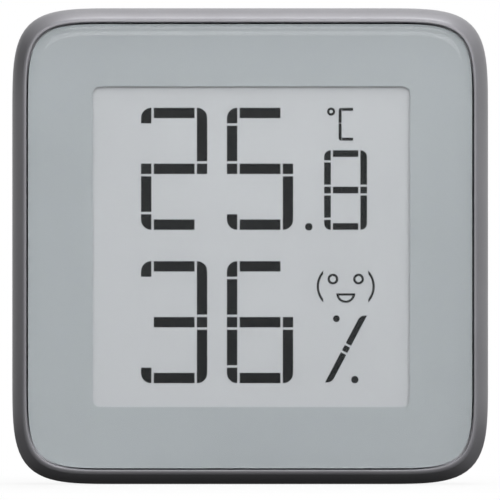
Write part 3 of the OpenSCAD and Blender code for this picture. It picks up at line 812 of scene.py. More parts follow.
MEMBRANE_CLOTH = WovenSheet("membrane_filter_cloth", "#55585C", "#3A3D40", pitch=0.4 * MM, roughness=0.9)
STEEL = WorkedMetal("drawn_steel", "#C9CBCD", "#A9ACAF")
NICKEL = WorkedMetal("nickel_plate", "#D2CFC6", "#B5B1A6", roughness=0.22)
COPPER = WorkedMetal("etched_copper", "#C98A5E", "#A86E46", roughness=0.35, stretch=(1.0, 1.0, 1.0))
BRONZE = WorkedMetal("phosphor_bronze", "#C8A56A", "#A98850", roughness=0.28)
CHIP_EPOXY = GrainedBody("chip_moulding_epoxy", "#2A2B2D", "#242527", roughness=0.55, grain=0.12 * MM)
CHIP_CERAMIC = GrainedBody("fired_chip_ceramic", "#B39A78", "#A88F6D", roughness=0.4, grain=0.1 * MM)
HOLDER_NYLON = GrainedBody("moulded_nylon_holder", "#323436", "#2C2E30", roughness=0.5)
SOCKET_NYLON = GrainedBody("moulded_nylon_socket", "#E4DFD2", "#DAD5C8", roughness=0.45)
CARRIER_PC = GrainedBody("moulded_pc_carrier", "#D5D7D8", "#CCCED0", roughness=0.5)


def publish(piece: bpy.types.Object, finish: Finish, body: str, slot: str, *nodes: str) -> None:
    """Dresses a finished piece, ties it to its body and hides the CAD nodes that it stands for.

    Args:
        piece: Finished mesh in place.
        finish: Its surface finish.
        body: Body that it moves with.
        slot: Material slot of the record. Not used.
        nodes: CAD nodes that it stands for.
    """
    piece.data.materials.clear()
    piece.data.materials.append(finish.material())
    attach(piece, body)
    if nodes:
        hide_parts(*nodes)
    LOG.info("%s: %d faces on %s", piece.name, len(piece.data.polygons), body)


def dress(node: str, finish: Finish) -> None:
    """Gives a CAD node whose shape stays a better finish.

    Args:
        node: Name of the node.
        finish: Its surface finish.
    """
    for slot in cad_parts[node].material_slots:
        slot.link = "OBJECT"
        slot.material = finish.material()
    LOG.info("%s: %s", node, finish.name)


@dataclass
class Outline:
    """Square outline with continuous-curvature corners that all housing parts share.

    A ring is the outline drawn in by an inset at a level of Y. Its corners shrink by their own rate, so
    that a rim between two rings is a little wider at the corners where the rate is low.
    """

    half: float
    corner_reach: float = 16.0 * MM
    corner_rate: float = 1.0
    corner_power: float = 4.75
    corner_steps: int = 36

    def corner(self, inset: float) -> float:
        """Gives the reach of a ring's corners."""
        return self.corner_reach - self.corner_rate * inset

    def sheet(self, name: str, inset: float, level: float, facing: Facing) -> bpy.types.Object:
        """Adds a flat sheet in the shape of one ring.

        Args:
            name: Name of the piece.
            inset: How far it is drawn in all round.
            level: Place along Y.
            facing: Side that it looks to.

        Returns:
            The sheet.
        """
        side = self.half - inset
        piece = plate(name, (-side, self.half - side), (side, self.half + side), level, facing)
        with editing(piece):
            round_corners(lambda vert: True, self.corner(inset), self.corner_steps,
                          2 ** (-2 / self.corner_power))
        return piece

    def run(self, rings: list[tuple[float, float]]) -> None:
        """Extrudes the selected end face of a sheet from ring to ring.

        Args:
            rings: Inset and level of each ring, from the one where the face lies now.
        """
        middle = self.half - self.corner_reach / self.corner_rate
        for (inset, level), (next_inset, next_level) in zip(rings, rings[1:]):
            push(next_level - level)
            if next_inset == inset:
                continue
            share = self.corner(next_inset) / self.corner(inset)
            mesh = bmesh.from_edit_mesh(bpy.context.edit_object.data)
            ring = {vert.index for vert in mesh.verts if vert.select}
            for x_side in (-1, 1):
                for z_side in (-1, 1):
                    choose(Element.VERT, lambda vert: vert.index in ring and vert.co.x * x_side > 0
                           and (vert.co.z - self.half) * z_side > 0)
                    bpy.ops.transform.resize(value=(share, 1.0, share),
                                             center_override=(x_side * middle, next_level,
                                                              self.half + z_side * middle))
            choose(Element.VERT, lambda vert: vert.index in ring)
            bpy.ops.mesh.select_mode(type="FACE")


@dataclass
class FrontFrame:
    """Moulded frame: sides that draw in to a soft rim, lens well with its ledge, and screw bosses."""

    outline: Outline
    rim: float
    split: float
    ledge: float
    boss_end: float
    opening_low: tuple[float, float]
    opening_high: tuple[float, float]
    wall: float = 1.85 * MM
    well: float = 1.93 * MM
    draft_w: float = 1.3 * MM
    draft_d: float = 6.0 * MM
    rim_r: float = 0.5 * MM
    inner_r: float = 0.07 * MM
    rim_steps: int = 12
    inner_steps: int = 4
    ledge_t: float = 1.2 * MM
    opening_r: float = 1.2 * MM
    boss_r: float = 2.3 * MM
    boss_sides: int = 48
    bore_r: float = 0.85 * MM
    bore_sides: int = 32
    bore_len: float = 4.8 * MM
    screw_edge: float = 7.35 * MM
    over: float = 1.0 * MM
    edge: float = 0.07 * MM

    @property
    def lean(self) -> float:
        """Lean of the side where the rim's edge starts, in radians."""
        return math.atan(2 * self.draft_w / self.draft_d)

    @property
    def widest(self) -> float:
        """Level at which the side starts to draw in."""
        return self.rim + self.rim_r * (1 - math.sin(self.lean)) + self.draft_d

    def rings(self) -> list[tuple[float, float]]:
        """Gives the rings from the parting line over the rim to the ledge.

        Returns:
            Inset and level of each ring.
        """
        made = [(0.0, self.split)]
        for step in range(self.rim_steps + 1):
            share = step / self.rim_steps
            made.append((self.draft_w * share ** 2, self.widest - self.draft_d * share))
        for step in range(1, self.rim_steps + 1):
            turn = self.lean + (math.pi / 2 - self.lean) * step / self.rim_steps
            made.append((self.draft_w + self.rim_r * (math.cos(self.lean) - math.cos(turn)),
                         self.rim + self.rim_r * (1 - math.sin(turn))))
        for step in range(self.inner_steps + 1):
            turn = math.pi / 2 * step / self.inner_steps
            made.append((self.well - self.inner_r * (1 - math.sin(turn)),
                         self.rim + self.inner_r * (1 - math.cos(turn))))
        return made + [(self.well, self.ledge)]

    def shell(self) -> bpy.types.Object:
        """Models the frame from the parting line over the rim to the lens well, and its hollow rear.

        Returns:
            The shell.
        """
        piece = self.outline.sheet("front_frame_shell", 0.0, self.split, Facing.SCREEN)
        with editing(piece):
            self.outline.run(self.rings())
            choose(Element.FACE, faces_at(self.split, Facing.REAR))
            self.outline.run([(0.0, self.split), (self.wall, self.split),
                              (self.wall, self.ledge + self.ledge_t)])
        return piece

    def build(self) -> None:
        """Models the frame and dresses it."""
        piece = self.shell()
        side = self.outline.half - self.screw_edge
        start = self.ledge + self.ledge_t / 3
        bore_y = self.boss_end + (self.over - self.bore_len) / 2
        for x in (-side, side):
            for z in (self.outline.half - side, self.outline.half + side):
                boss = rod("boss", (x, (start + self.boss_end) / 2, z), self.boss_r,
                           self.boss_end - start, Along.Y, self.boss_sides)
                combine(piece, boss, Mix.FUSE)
                bore = rod("bore", (x, bore_y, z), self.bore_r, self.bore_len + self.over, Along.Y,
                           self.bore_sides)
                combine(piece, bore, Mix.CUT)
        opening = soft_block("opening", self.opening_low, self.opening_high, self.ledge - self.over,
                             self.ledge + self.ledge_t + self.over, self.opening_r)
        combine(piece, opening, Mix.CUT)
        break_edges(piece, self.edge)
        publish(piece, FRAME_ABS, "housing", "frame_plastic", "front_frame")


@dataclass
class FrontLens:
    """Clear window with a soft edge, set in the frame's well a hair in front of its print."""

    outline: Outline
    face: float
    back: float
    inset: float
    round_w: float = 1.6 * MM
    round_d: float = 0.9 * MM
    round_steps: int = 18
    chamfer: float = 0.15 * MM
    air: float = 0.02 * MM
    margin: float = 0.4 * MM
    smooth: float = 30.0

    def build(self) -> None:
        """Models the lens from its back chamfer to its face and dresses it."""
        back = self.back - self.air
        start = back - self.chamfer
        inner = self.inset + self.chamfer
        piece = self.outline.sheet("front_lens_window", self.inset, start, Facing.SCREEN)
        with editing(piece):
            edge = round_rings(self.inset, self.face, self.round_w, self.round_d, self.round_steps)
            flat = (self.inset + self.round_w + self.margin, self.face)
            self.outline.run([(self.inset, start), *edge, flat])
            choose(Element.FACE, faces_at(start, Facing.REAR))
            self.outline.run([(self.inset, start), (inner, back), (inner + self.margin, back)])
        pick(piece)
        bpy.ops.object.shade_smooth_by_angle(angle=math.radians(self.smooth))
        publish(piece, CLEAR_ACRYLIC, "housing", "lens_clear", "front_lens")


@dataclass
class MaskFilm:
    """Grey border printed behind the lens, with the window of the display."""

    outline: Outline
    low: Vector
    high: Vector
    window_low: tuple[float, float] = (-20.46 * MM, 10.09 * MM)
    window_high: tuple[float, float] = (20.75 * MM, 51.75 * MM)
    window_r: float = 1.0 * MM
    over: float = 1.0 * MM

    def build(self) -> None:
        """Models the border with its window and dresses it."""
        piece = self.outline.sheet("mask_film_border", self.outline.half - self.high.x, self.low.y,
                                   Facing.SCREEN)
        with editing(piece):
            push(self.high.y - self.low.y)
            face_out()
        window = soft_block("window", self.window_low, self.window_high, self.low.y - self.over,
                            self.high.y + self.over, self.window_r)
        combine(piece, window, Mix.CUT)
        publish(piece, MASK_PRINT, "housing", "mask_print", "mask_film")


class Stroke(Enum):
    """Strokes of a segmented figure, with the corner pieces and squares that the display has."""

    TOP = "top"
    MIDDLE = "middle"
    BOTTOM = "bottom"
    TOP_CORNER = "top corner"
    UPPER_LEFT = "upper left"
    LEFT_SQUARE = "left square"
    LOWER_LEFT = "lower left"
    BOTTOM_CORNER = "bottom corner"
    UPPER_RIGHT = "upper right"
    RIGHT_SQUARE = "right square"
    LOWER_RIGHT = "lower right"


RAILS = {Stroke.TOP, Stroke.MIDDLE, Stroke.BOTTOM, Stroke.TOP_CORNER, Stroke.BOTTOM_CORNER,
         Stroke.RIGHT_SQUARE}
STROKES = {
    2: RAILS | {Stroke.UPPER_RIGHT, Stroke.LEFT_SQUARE, Stroke.LOWER_LEFT},
    3: RAILS | {Stroke.UPPER_RIGHT, Stroke.LOWER_RIGHT},
    5: RAILS | {Stroke.UPPER_LEFT, Stroke.LEFT_SQUARE, Stroke.LOWER_RIGHT},
    6: RAILS | {Stroke.UPPER_LEFT, Stroke.LEFT_SQUARE, Stroke.LOWER_LEFT, Stroke.LOWER_RIGHT},
    8: set(Stroke),
}


@dataclass
class InkSheet:
    """Thin layer of dark figures on the front of the e-paper film."""

    level: float
    centre: float
    thickness: float = 0.01 * MM
    corner_steps: int = 8
    corner_slack: float = 0.02 * MM
    dot_sides: int = 48

    def bar(self, low: tuple[float, float], high: tuple[float, float],
            rounded: tuple[tuple[float, float], ...] = (), radius: float = 0.0,
            tilt: float = 0.0) -> bpy.types.Object:
        """Lays down one stroke.

        Args:
            low: Lowest X and Z, from the middle of the screen.
            high: Highest X and Z.
            rounded: Corners that are rounded.
            radius: Radius of those corners.
            tilt: Turn about its middle, in radians.

        Returns:
            The stroke.
        """
        piece = plate("stroke", (low[0], low[1] + self.centre), (high[0], high[1] + self.centre),
                      self.level, Facing.SCREEN, tilt)
        if rounded:
            self.soften(piece, rounded, radius)
        return piece

    def soften(self, piece: bpy.types.Object, places: tuple[tuple[float, float], ...],
               radius: float) -> None:
        """Rounds the corners of a stroke that lie at the given places.

        Args:
            piece: The stroke.
            places: X and Z of the corners, from the middle of the screen.
            radius: Radius of the corners.
        """
        spots = [Vector((x, self.level, z + self.centre)) for x, z in places]
        with editing(piece):
            round_corners(lambda vert: any((vert.co - spot).length < self.corner_slack for spot in spots),
                          radius, self.corner_steps)

    def dot(self, middle: tuple[float, float], radius: float, stroke: float = 0.0) -> bpy.types.Object:
        """Lays down a dot, or a ring where a stroke is given.

        Args:
            middle: X and Z from the middle of the screen.
            radius: Outer radius.
            stroke: Width of the ring.

        Returns:
            The dot.
        """
        piece = disc("dot", (middle[0], middle[1] + self.centre), radius, self.level, Facing.SCREEN,
                     self.dot_sides)
        if stroke:
            with editing(piece):
                bpy.ops.mesh.inset(thickness=stroke)
                bpy.ops.mesh.delete(type="FACE")
        return piece

    def trim(self, piece: bpy.types.Object, place: tuple[float, float], away: tuple[float, float]) -> None:
        """Cuts a stroke along a line and clears the side that a direction points to.

        Args:
            piece: The stroke.
            place: X and Z of a point on the line, from the middle of the screen.
            away: Direction of the side that goes.
        """
        with editing(piece):
            bpy.ops.mesh.bisect(plane_co=(place[0], self.level, place[1] + self.centre),
                                plane_no=(away[0], 0.0, away[1]), clear_outer=True)

    def fix(self, name: str, pieces: list[bpy.types.Object]) -> None:
        """Joins strokes into one group, gives them their thickness and dresses them.

        Args:
            name: Name of the group.
            pieces: Its strokes.
        """
        deselect()
        for piece in pieces:
            piece.select_set(True)
        bpy.context.view_layer.objects.active = pieces[0]
        if len(pieces) > 1:
            bpy.ops.object.join()
        group = bpy.context.object
        group.name = name
        with editing(group):
            push(-self.thickness)
            face_out()
        publish(group, EPAPER_INK, "housing", "epaper_white")


@dataclass
class Figure:
    """One segmented figure of the display."""

    value: int
    corner: tuple[float, float]
    width: float
    height: float
    stroke: float
    gap: float
    corner_len: float
    rounding: float = 0.97

    def lay(self, ink: InkSheet) -> list[bpy.types.Object]:
        """Lays down the strokes that the figure shows.

        Args:
            ink: Layer that they belong to.

        Returns:
            The strokes.
        """
        s, g = self.stroke, self.gap
        w, h = self.width, self.height
        mid = (h - s) / 2
        left, right, bar_0, bar_1 = 0.0, w - s, s + g, w - s - g
        low_left = self.corner_len + g
        boxes = {
            Stroke.TOP: (bar_0, h - s, bar_1, h, ()),
            Stroke.MIDDLE: (bar_0, mid, bar_1, mid + s, ()),
            Stroke.BOTTOM: (bar_0, 0.0, bar_1, s, ()),
            Stroke.TOP_CORNER: (left, h - self.corner_len, s, h, ((left, h),)),
            Stroke.UPPER_LEFT: (left, mid + s + g, s, h - low_left, ()),
            Stroke.LEFT_SQUARE: (left, mid, s, mid + s, ()),
            Stroke.LOWER_LEFT: (left, low_left, s, mid - g, ()),
            Stroke.BOTTOM_CORNER: (left, 0.0, s, self.corner_len, ((left, 0.0),)),
            Stroke.UPPER_RIGHT: (right, mid + s + g, w, h, ((w, h),)),
            Stroke.RIGHT_SQUARE: (right, mid, w, mid + s, ()),
            Stroke.LOWER_RIGHT: (right, 0.0, w, mid - g, ((w, 0.0),)),
        }
        x, z = self.corner
        laid = []
        for stroke in Stroke:
            if stroke in STROKES[self.value]:
                x0, z0, x1, z1, rounded = boxes[stroke]
                laid.append(ink.bar((x + x0, z + z0), (x + x1, z + z1),
                                    tuple((x + u, z + v) for u, v in rounded), self.rounding * s))
        return laid


@dataclass
class Display:
    """What the screen shows: the temperature above, the humidity below, and a plain comfort face.

    Places are measured from the middle of the screen.
    """

    ink: InkSheet
    digit_w: float = 8.61 * MM
    digit_h: float = 15.86 * MM
    stroke: float = 1.353 * MM
    gap: float = 0.3 * MM
    corner_len: float = 2.03 * MM
    tens_x: float = -14.18 * MM
    units_x: float = -3.02 * MM
    upper_z: float = 2.12 * MM
    lower_z: float = -17.81 * MM
    face_x: float = 12.42 * MM
    face_z: float = -5.24 * MM

    def digit(self, value: int, x: float, z: float) -> list[bpy.types.Object]:
        """Lays down one large figure.

        Args:
            value: The figure.
            x: Its left side.
            z: Its foot.

        Returns:
            Its strokes.
        """
        return Figure(value, (x, z), self.digit_w, self.digit_h, self.stroke, self.gap,
                      self.corner_len).lay(self.ink)

    def temperature(self) -> None:
        """Lays down the temperature with its tenths."""
        tenths = Figure(8, (9.61 * MM, self.upper_z), width=5.58 * MM, height=10.34 * MM,
                        stroke=0.871 * MM, gap=0.27 * MM, corner_len=1.31 * MM)
        point, point_r = (7.62 * MM, 2.52 * MM), 0.49 * MM
        strokes = self.digit(2, self.tens_x, self.upper_z) + self.digit(5, self.units_x, self.upper_z)
        strokes += tenths.lay(self.ink)
        strokes.append(self.ink.dot(point, point_r))
        self.ink.fix("temperature_figures", strokes)

    def degree_sign(self) -> None:
        """Lays down the degree ring and the unit's letter, drawn with the same kind of strokes."""
        thin, gap = 0.39 * MM, 0.09 * MM
        x0, x1, z0, z1 = 11.49 * MM, 13.38 * MM, 13.71 * MM, 17.97 * MM
        split, bend = 16.02 * MM, 0.9 * thin
        ring, ring_r, ring_line = (10.52 * MM, 17.48 * MM), 0.53 * MM, 0.31 * MM
        strokes = [
            self.ink.dot(ring, ring_r, ring_line),
            self.ink.bar((x0, z0), (x0 + thin, split - gap), ((x0, z0),), bend),
            self.ink.bar((x0, split), (x0 + thin, z1), ((x0, z1),), bend),
            self.ink.bar((x0 + thin + gap / 2, z0), (x1, z0 + thin)),
            self.ink.bar((x0 + thin + gap / 2, z1 - thin), (x1, z1)),
        ]
        self.ink.fix("degree_sign", strokes)

    def humidity(self) -> None:
        """Lays down the humidity."""
        strokes = self.digit(3, self.tens_x, self.lower_z) + self.digit(6, self.units_x, self.lower_z)
        self.ink.fix("humidity_figures", strokes)

    def percent_sign(self) -> None:
        """Lays down the percent sign: a slash in three lengths between two dots."""
        low, high = (9.715 * MM, -17.71 * MM), (15.19 * MM, -9.01 * MM)
        upper, upper_r = (11.2 * MM, -9.42 * MM), 0.44 * MM
        lower, lower_r = (13.6 * MM, -17.34 * MM), 0.48 * MM
        flat, bend = 0.884 * MM, 0.55 * MM
        slope = math.atan2(high[1] - low[1], high[0] - flat - low[0])
        along = Vector((math.cos(slope), math.sin(slope)))
        wide = flat * math.sin(slope)
        centre = (Vector(low) + Vector(high)) / 2
        half_mid, gap = 0.4 * MM, 0.27 * MM
        far = 6.0 * MM
        strokes = [self.ink.dot(upper, upper_r), self.ink.dot(lower, lower_r)]
        for start, end in ((-far, -half_mid - gap), (-half_mid, half_mid), (half_mid + gap, far)):
            middle = centre + along * (start + end) / 2
            size = Vector((end - start, wide)) / 2
            piece = self.ink.bar(tuple(middle - size), tuple(middle + size), tilt=-slope)
            self.ink.trim(piece, high, (0.0, 1.0))
            self.ink.trim(piece, low, (0.0, -1.0))
            strokes.append(piece)
        self.ink.soften(strokes[-1], ((high[0] - flat, high[1]),), bend)
        self.ink.soften(strokes[2], ((low[0] + flat, low[1]),), bend)
        self.ink.fix("percent_sign", strokes)

    def comfort_face(self) -> None:
        """Lays down a plain smiling face between two curved brackets."""
        line = 0.3 * MM
        eye_x, eye_z, eye_r, eye_line = 1.665 * MM, -4.28 * MM, 0.7 * MM, 0.31 * MM
        arc_r, arc_shift, arc_end = 2.95 * MM, 0.83 * MM, 2.12 * MM
        strokes = [self.ink.dot((self.face_x + side * eye_x, eye_z), eye_r, eye_line)
                   for side in (-1, 1)]
        for side in (-1, 1):
            middle = self.face_x + side * arc_shift
            arc = self.ink.dot((middle, self.face_z), arc_r, line)
            self.ink.trim(arc, (middle + side * arc_end, self.face_z), (-side, 0.0))
            strokes.append(arc)
        mouth_r, mouth_z = 1.24 * MM, -6.13 * MM
        mouth = self.ink.dot((self.face_x, mouth_z), mouth_r)
        self.ink.trim(mouth, (self.face_x, mouth_z), (0.0, 1.0))
        with editing(mouth):
            bpy.ops.mesh.inset(thickness=line)
            bpy.ops.mesh.delete(type="FACE")
        strokes.append(mouth)
        self.ink.fix("comfort_face", strokes)

    def build(self) -> None:
        """Dresses the film and lays down all that the screen shows."""
        dress("epaper_film", EPAPER)
        self.temperature()
        self.degree_sign()
        self.humidity()
        self.percent_sign()
        self.comfort_face()


@dataclass
class RearCover:
    """Rear half of the housing: lip, door seat, stand pocket, vents, button guide and magnet cups."""

    outline: Outline
    split: float
    rear: float
    door_z: float
    stand_axis: tuple[float, float]
    button: tuple[float, float]
    magnet: tuple[float, float]
    vent_side: float
    vent_z: float
    reveal: float = 0.3 * MM
    rear_round: float = 3.0 * MM
    round_steps: int = 14
    margin: float = 0.3 * MM
    rear_t: float = 2.2 * MM
    lip_out: float = 1.95 * MM
    lip_t: float = 1.0 * MM
    lip_h: float = 2.0 * MM
    bead_r: float = 0.4 * MM
    bead_len: float = 14.0 * MM
    seat_r: float = 13.1 * MM
    seat_d: float = 1.26 * MM
    hole_r: float = 11.6 * MM
    pocket_half: float = 11.3 * MM
    pocket_low: float = 1.85 * MM
    pocket_high: float = 26.5 * MM
    pocket_r: float = 3.2 * MM
    pocket_d: float = 2.6 * MM
    bay_low: float = 21.78 * MM
    bay_d: float = 3.56 * MM
    pocket_wall: float = 1.1 * MM
    pin_seat: float = 1.0 * MM
    pin_r: float = 0.8 * MM
    nail_r: float = 3.2 * MM
    nail_len: float = 9.0 * MM
    button_r: float = 2.8 * MM
    guide_r: float = 3.8 * MM
    guide_h: float = 1.26 * MM
    magnet_r: float = 4.1 * MM
    magnet_skin: float = 0.9 * MM
    magnet_cup_h: float = 0.4 * MM
    cup_t: float = 1.0 * MM
    vent_count: int = 5
    vent_len: float = 10.0 * MM
    vent_w: float = 1.2 * MM
    vent_pitch: float = 2.8 * MM
    vent_margin: float = 1.2 * MM
    vent_round: float = 0.49
    over: float = 1.0 * MM
    lap: float = 0.5 * MM
    pin_end: float = 0.2 * MM
    room_len: float = 4.0 * MM
    edge: float = 0.14 * MM
    bead_sides: int = 24
    pin_sides: int = 32
    seat_sides: int = 128

    def shell(self) -> bpy.types.Object:
        """Models the shell with its shadow line and lip.

        Returns:
            The shell.
        """
        start = self.split + self.reveal
        lip_in = self.lip_out + self.lip_t
        piece = self.outline.sheet("rear_cover_shell", 0.0, start, Facing.REAR)
        with editing(piece):
            edge = round_rings(0.0, self.rear, self.rear_round, -self.rear_round, self.round_steps)
            self.outline.run([(0.0, start), *edge, (self.rear_round + self.margin, self.rear)])
            choose(Element.FACE, faces_at(start, Facing.SCREEN))
            self.outline.run([(0.0, start), (self.reveal, start), (self.reveal, self.split),
                              (self.lip_out, self.split), (self.lip_out, self.split - self.lip_h),
                              (lip_in, self.split - self.lip_h), (lip_in, self.rear - self.rear_t)])
        return piece

    def add_stand_room(self, piece: bpy.types.Object) -> None:
        """Adds the stand's pocket with its deeper bay and the holes of the pin.

        Args:
            piece: The shell.
        """
        inner = self.rear - self.rear_t
        side = self.pocket_half + self.pin_seat + self.pocket_wall
        for low, depth in ((self.pocket_low - self.lap, self.pocket_d),
                           (self.bay_low - self.pocket_wall, self.bay_d)):
            walls = block("walls", (-side, self.rear - depth - self.pocket_wall, low),
                          (side, inner + self.lap, self.pocket_high + self.pocket_wall))
            combine(piece, walls, Mix.FUSE)
        middle = (self.pocket_low + self.pocket_high) / 2
        pocket = soft_block("pocket", (-self.pocket_half, self.pocket_low),
                            (self.pocket_half, self.pocket_high), self.rear - self.pocket_d,
                            self.rear + self.over, self.pocket_r, lambda vert: vert.co.z < middle)
        combine(piece, pocket, Mix.CUT)
        bay = block("bay", (-self.pocket_half, self.rear - self.bay_d, self.bay_low),
                    (self.pocket_half, self.rear + self.over, self.pocket_high))
        combine(piece, bay, Mix.CUT)
        bore = rod("pin bore", (0.0, *self.stand_axis), self.pin_r,
                   2 * (self.pocket_half + self.pin_seat + self.pin_end), Along.X, self.pin_sides)
        combine(piece, bore, Mix.CUT)
        nail = rod("nail notch", (0.0, self.rear, 0.0), self.nail_r, self.nail_len, Along.X)
        combine(piece, nail, Mix.CUT)

    def add_door_seat(self, piece: bpy.types.Object) -> None:
        """Cuts the stepped seat of the battery door.

        Args:
            piece: The shell.
        """
        for radius, depth in ((self.seat_r, self.seat_d), (self.hole_r, self.rear_t + self.over)):
            hole = rod("seat", (0.0, self.rear + (self.over - depth) / 2, self.door_z), radius,
                       depth + self.over, Along.Y, self.seat_sides)
            combine(piece, hole, Mix.CUT)

    def add_cups(self, piece: bpy.types.Object) -> None:
        """Adds the button's guide and the magnets' cups.

        Args:
            piece: The shell.
        """
        inner = self.rear - self.rear_t
        cups = [(self.button, self.guide_r, self.guide_h)]
        cups += [((side * self.magnet[0], self.magnet[1]), self.magnet_r, self.magnet_cup_h)
                 for side in (-1, 1)]
        for (x, z), radius, height in cups:
            wall = rod("cup", (x, inner + (self.over - height) / 2, z), radius + self.cup_t,
                       height + self.over, Along.Y)
            combine(piece, wall, Mix.FUSE)
        room_y = self.rear - self.magnet_skin - self.room_len / 2
        for (x, z), radius, _ in cups[1:]:
            room = rod("magnet room", (x, room_y, z), radius, self.room_len, Along.Y)
            combine(piece, room, Mix.CUT)
        x, z = self.button
        guide = rod("guide", (x, inner - self.room_len / 2, z), self.guide_r, self.room_len, Along.Y)
        combine(piece, guide, Mix.CUT)
        hole = rod("button hole", (x, self.rear, z), self.button_r, 2 * (self.rear_t + self.over), Along.Y)
        combine(piece, hole, Mix.CUT)

    def add_vents(self, piece: bpy.types.Object) -> None:
        """Cuts the slots of both vents.

        Args:
            piece: The shell.
        """
        for side in (-1, 1):
            for place in range(self.vent_count):
                x = side * (self.vent_side - self.vent_margin - self.vent_len / 2)
                z = self.vent_z + (place - (self.vent_count - 1) / 2) * self.vent_pitch
                slot = soft_block("vent", (x - self.vent_len / 2, z - self.vent_w / 2),
                                  (x + self.vent_len / 2, z + self.vent_w / 2),
                                  self.rear - self.rear_t - self.over, self.rear + self.over,
                                  self.vent_round * self.vent_w)
                combine(piece, slot, Mix.CUT)

    def add_beads(self, piece: bpy.types.Object) -> None:
        """Adds the snap beads along the lip.

        Args:
            piece: The shell.
        """
        level = self.split - self.lip_h / 2
        reach = self.outline.half - self.lip_out
        for side in (-1, 1):
            flat = rod("bead", (0.0, level, self.outline.half + side * reach), self.bead_r, self.bead_len,
                       Along.X, self.bead_sides)
            combine(piece, flat, Mix.FUSE)
            upright = rod("bead", (side * reach, level, self.outline.half), self.bead_r, self.bead_len,
                          Along.Z, self.bead_sides)
            combine(piece, upright, Mix.FUSE)

    def build(self) -> None:
        """Models the cover and dresses it."""
        piece = self.shell()
        self.add_beads(piece)
        self.add_stand_room(piece)
        self.add_cups(piece)
        self.add_door_seat(piece)
        self.add_vents(piece)
        break_edges(piece, self.edge)
        publish(piece, COVER_ABS, "housing", "cover_plastic", "rear_cover")


@dataclass
class BatteryDoor:
    """Round twist-off door with a coin slot, a cup for the cell, bayonet lugs and three pips."""

    centre: tuple[float, float]
    face: float
    inner: float
    radius: float
    flange_t: float = 0.9 * MM
    flange_w: float = 1.5 * MM
    edge: float = 0.3 * MM
    edge_steps: int = 6
    margin: float = 0.4 * MM
    cup_wall: float = 1.1 * MM
    floor_t: float = 1.8 * MM
    slot_w: float = 1.9 * MM
    slot_d: float = 1.1 * MM
    coin_r: float = 12.0 * MM
    lug_r: float = 12.7 * MM
    lug_t: float = 1.0 * MM
    lug_start: float = 76.0
    lug_angle: float = 28.0
    lug_count: int = 3
    pip_r: float = 0.8 * MM
    pip_h: float = 0.35 * MM
    pip_ring: float = 6.67 * MM
    over: float = 1.0 * MM
    broken: float = 0.12 * MM
    sides: int = 160
    lug_sides: int = 180
    slot_sides: int = 256
    pip_sides: int = 32

    def cap(self) -> bpy.types.Object:
        """Models the flange with its soft edge and the plain plug.

        Returns:
            The door, before its lugs and its cup.
        """
        start = self.face - self.flange_t
        piece = disc("battery_door_cap", self.centre, self.radius, start, Facing.REAR, self.sides)
        with editing(piece):
            push(self.flange_t - self.edge)
            round_edge(self.edge, self.edge, self.edge_steps)
            bpy.ops.mesh.inset(thickness=self.margin)
            choose(Element.FACE, faces_at(start, Facing.SCREEN))
            bpy.ops.mesh.inset(thickness=self.flange_w)
            push(self.inner - start)
        return piece

    def add_lugs(self, piece: bpy.types.Object) -> None:
        """Adds the bayonet lugs, each a slice of a disc.

        Args:
            piece: The door, before its cup is hollowed.
        """
        x, z = self.centre
        for number in range(self.lug_count):
            start = math.radians(self.lug_start + number * 360 / self.lug_count)
            end = start + math.radians(self.lug_angle)
            sides = ((math.sin(start), 0.0, -math.cos(start)), (-math.sin(end), 0.0, math.cos(end)))
            lug = disc("lug", self.centre, self.lug_r, self.inner, Facing.SCREEN, self.lug_sides)
            with editing(lug):
                for away in sides:
                    bpy.ops.mesh.select_all(action="SELECT")
                    bpy.ops.mesh.bisect(plane_co=(x, self.inner, z), plane_no=away, clear_outer=True)
                bpy.ops.mesh.select_all(action="SELECT")
                push(self.lug_t)
                face_out()
            combine(piece, lug, Mix.FUSE)

    def hollow(self, piece: bpy.types.Object) -> None:
        """Cuts the cup and the coin slot, and sets the pips that hold the cell off the floor.

        Args:
            piece: The door with its lugs.
        """
        x, z = self.centre
        floor = self.face - self.floor_t
        start = self.inner - self.over
        cup_r = self.radius - self.flange_w - self.cup_wall
        cup = rod("cup", (x, (start + floor) / 2, z), cup_r, floor - start, Along.Y, self.sides)
        combine(piece, cup, Mix.CUT)
        slot = rod("coin slot", (x, self.face - self.slot_d + self.coin_r, z), self.coin_r, self.slot_w,
                   Along.Z, self.slot_sides)
        combine(piece, slot, Mix.CUT)
        for number in range(self.lug_count):
            turn = math.pi / 2 + number * 2 * math.pi / self.lug_count
            place = (x + self.pip_ring * math.cos(turn), floor, z + self.pip_ring * math.sin(turn))
            pip = rod("pip", place, self.pip_r, 2 * self.pip_h, Along.Y, self.pip_sides)
            combine(piece, pip, Mix.FUSE)

    def build(self) -> None:
        """Models the door and dresses it."""
        piece = self.cap()
        self.add_lugs(piece)
        self.hollow(piece)
        break_edges(piece, self.broken)
        publish(piece, COVER_ABS, "door", "cover_plastic", "battery_door")


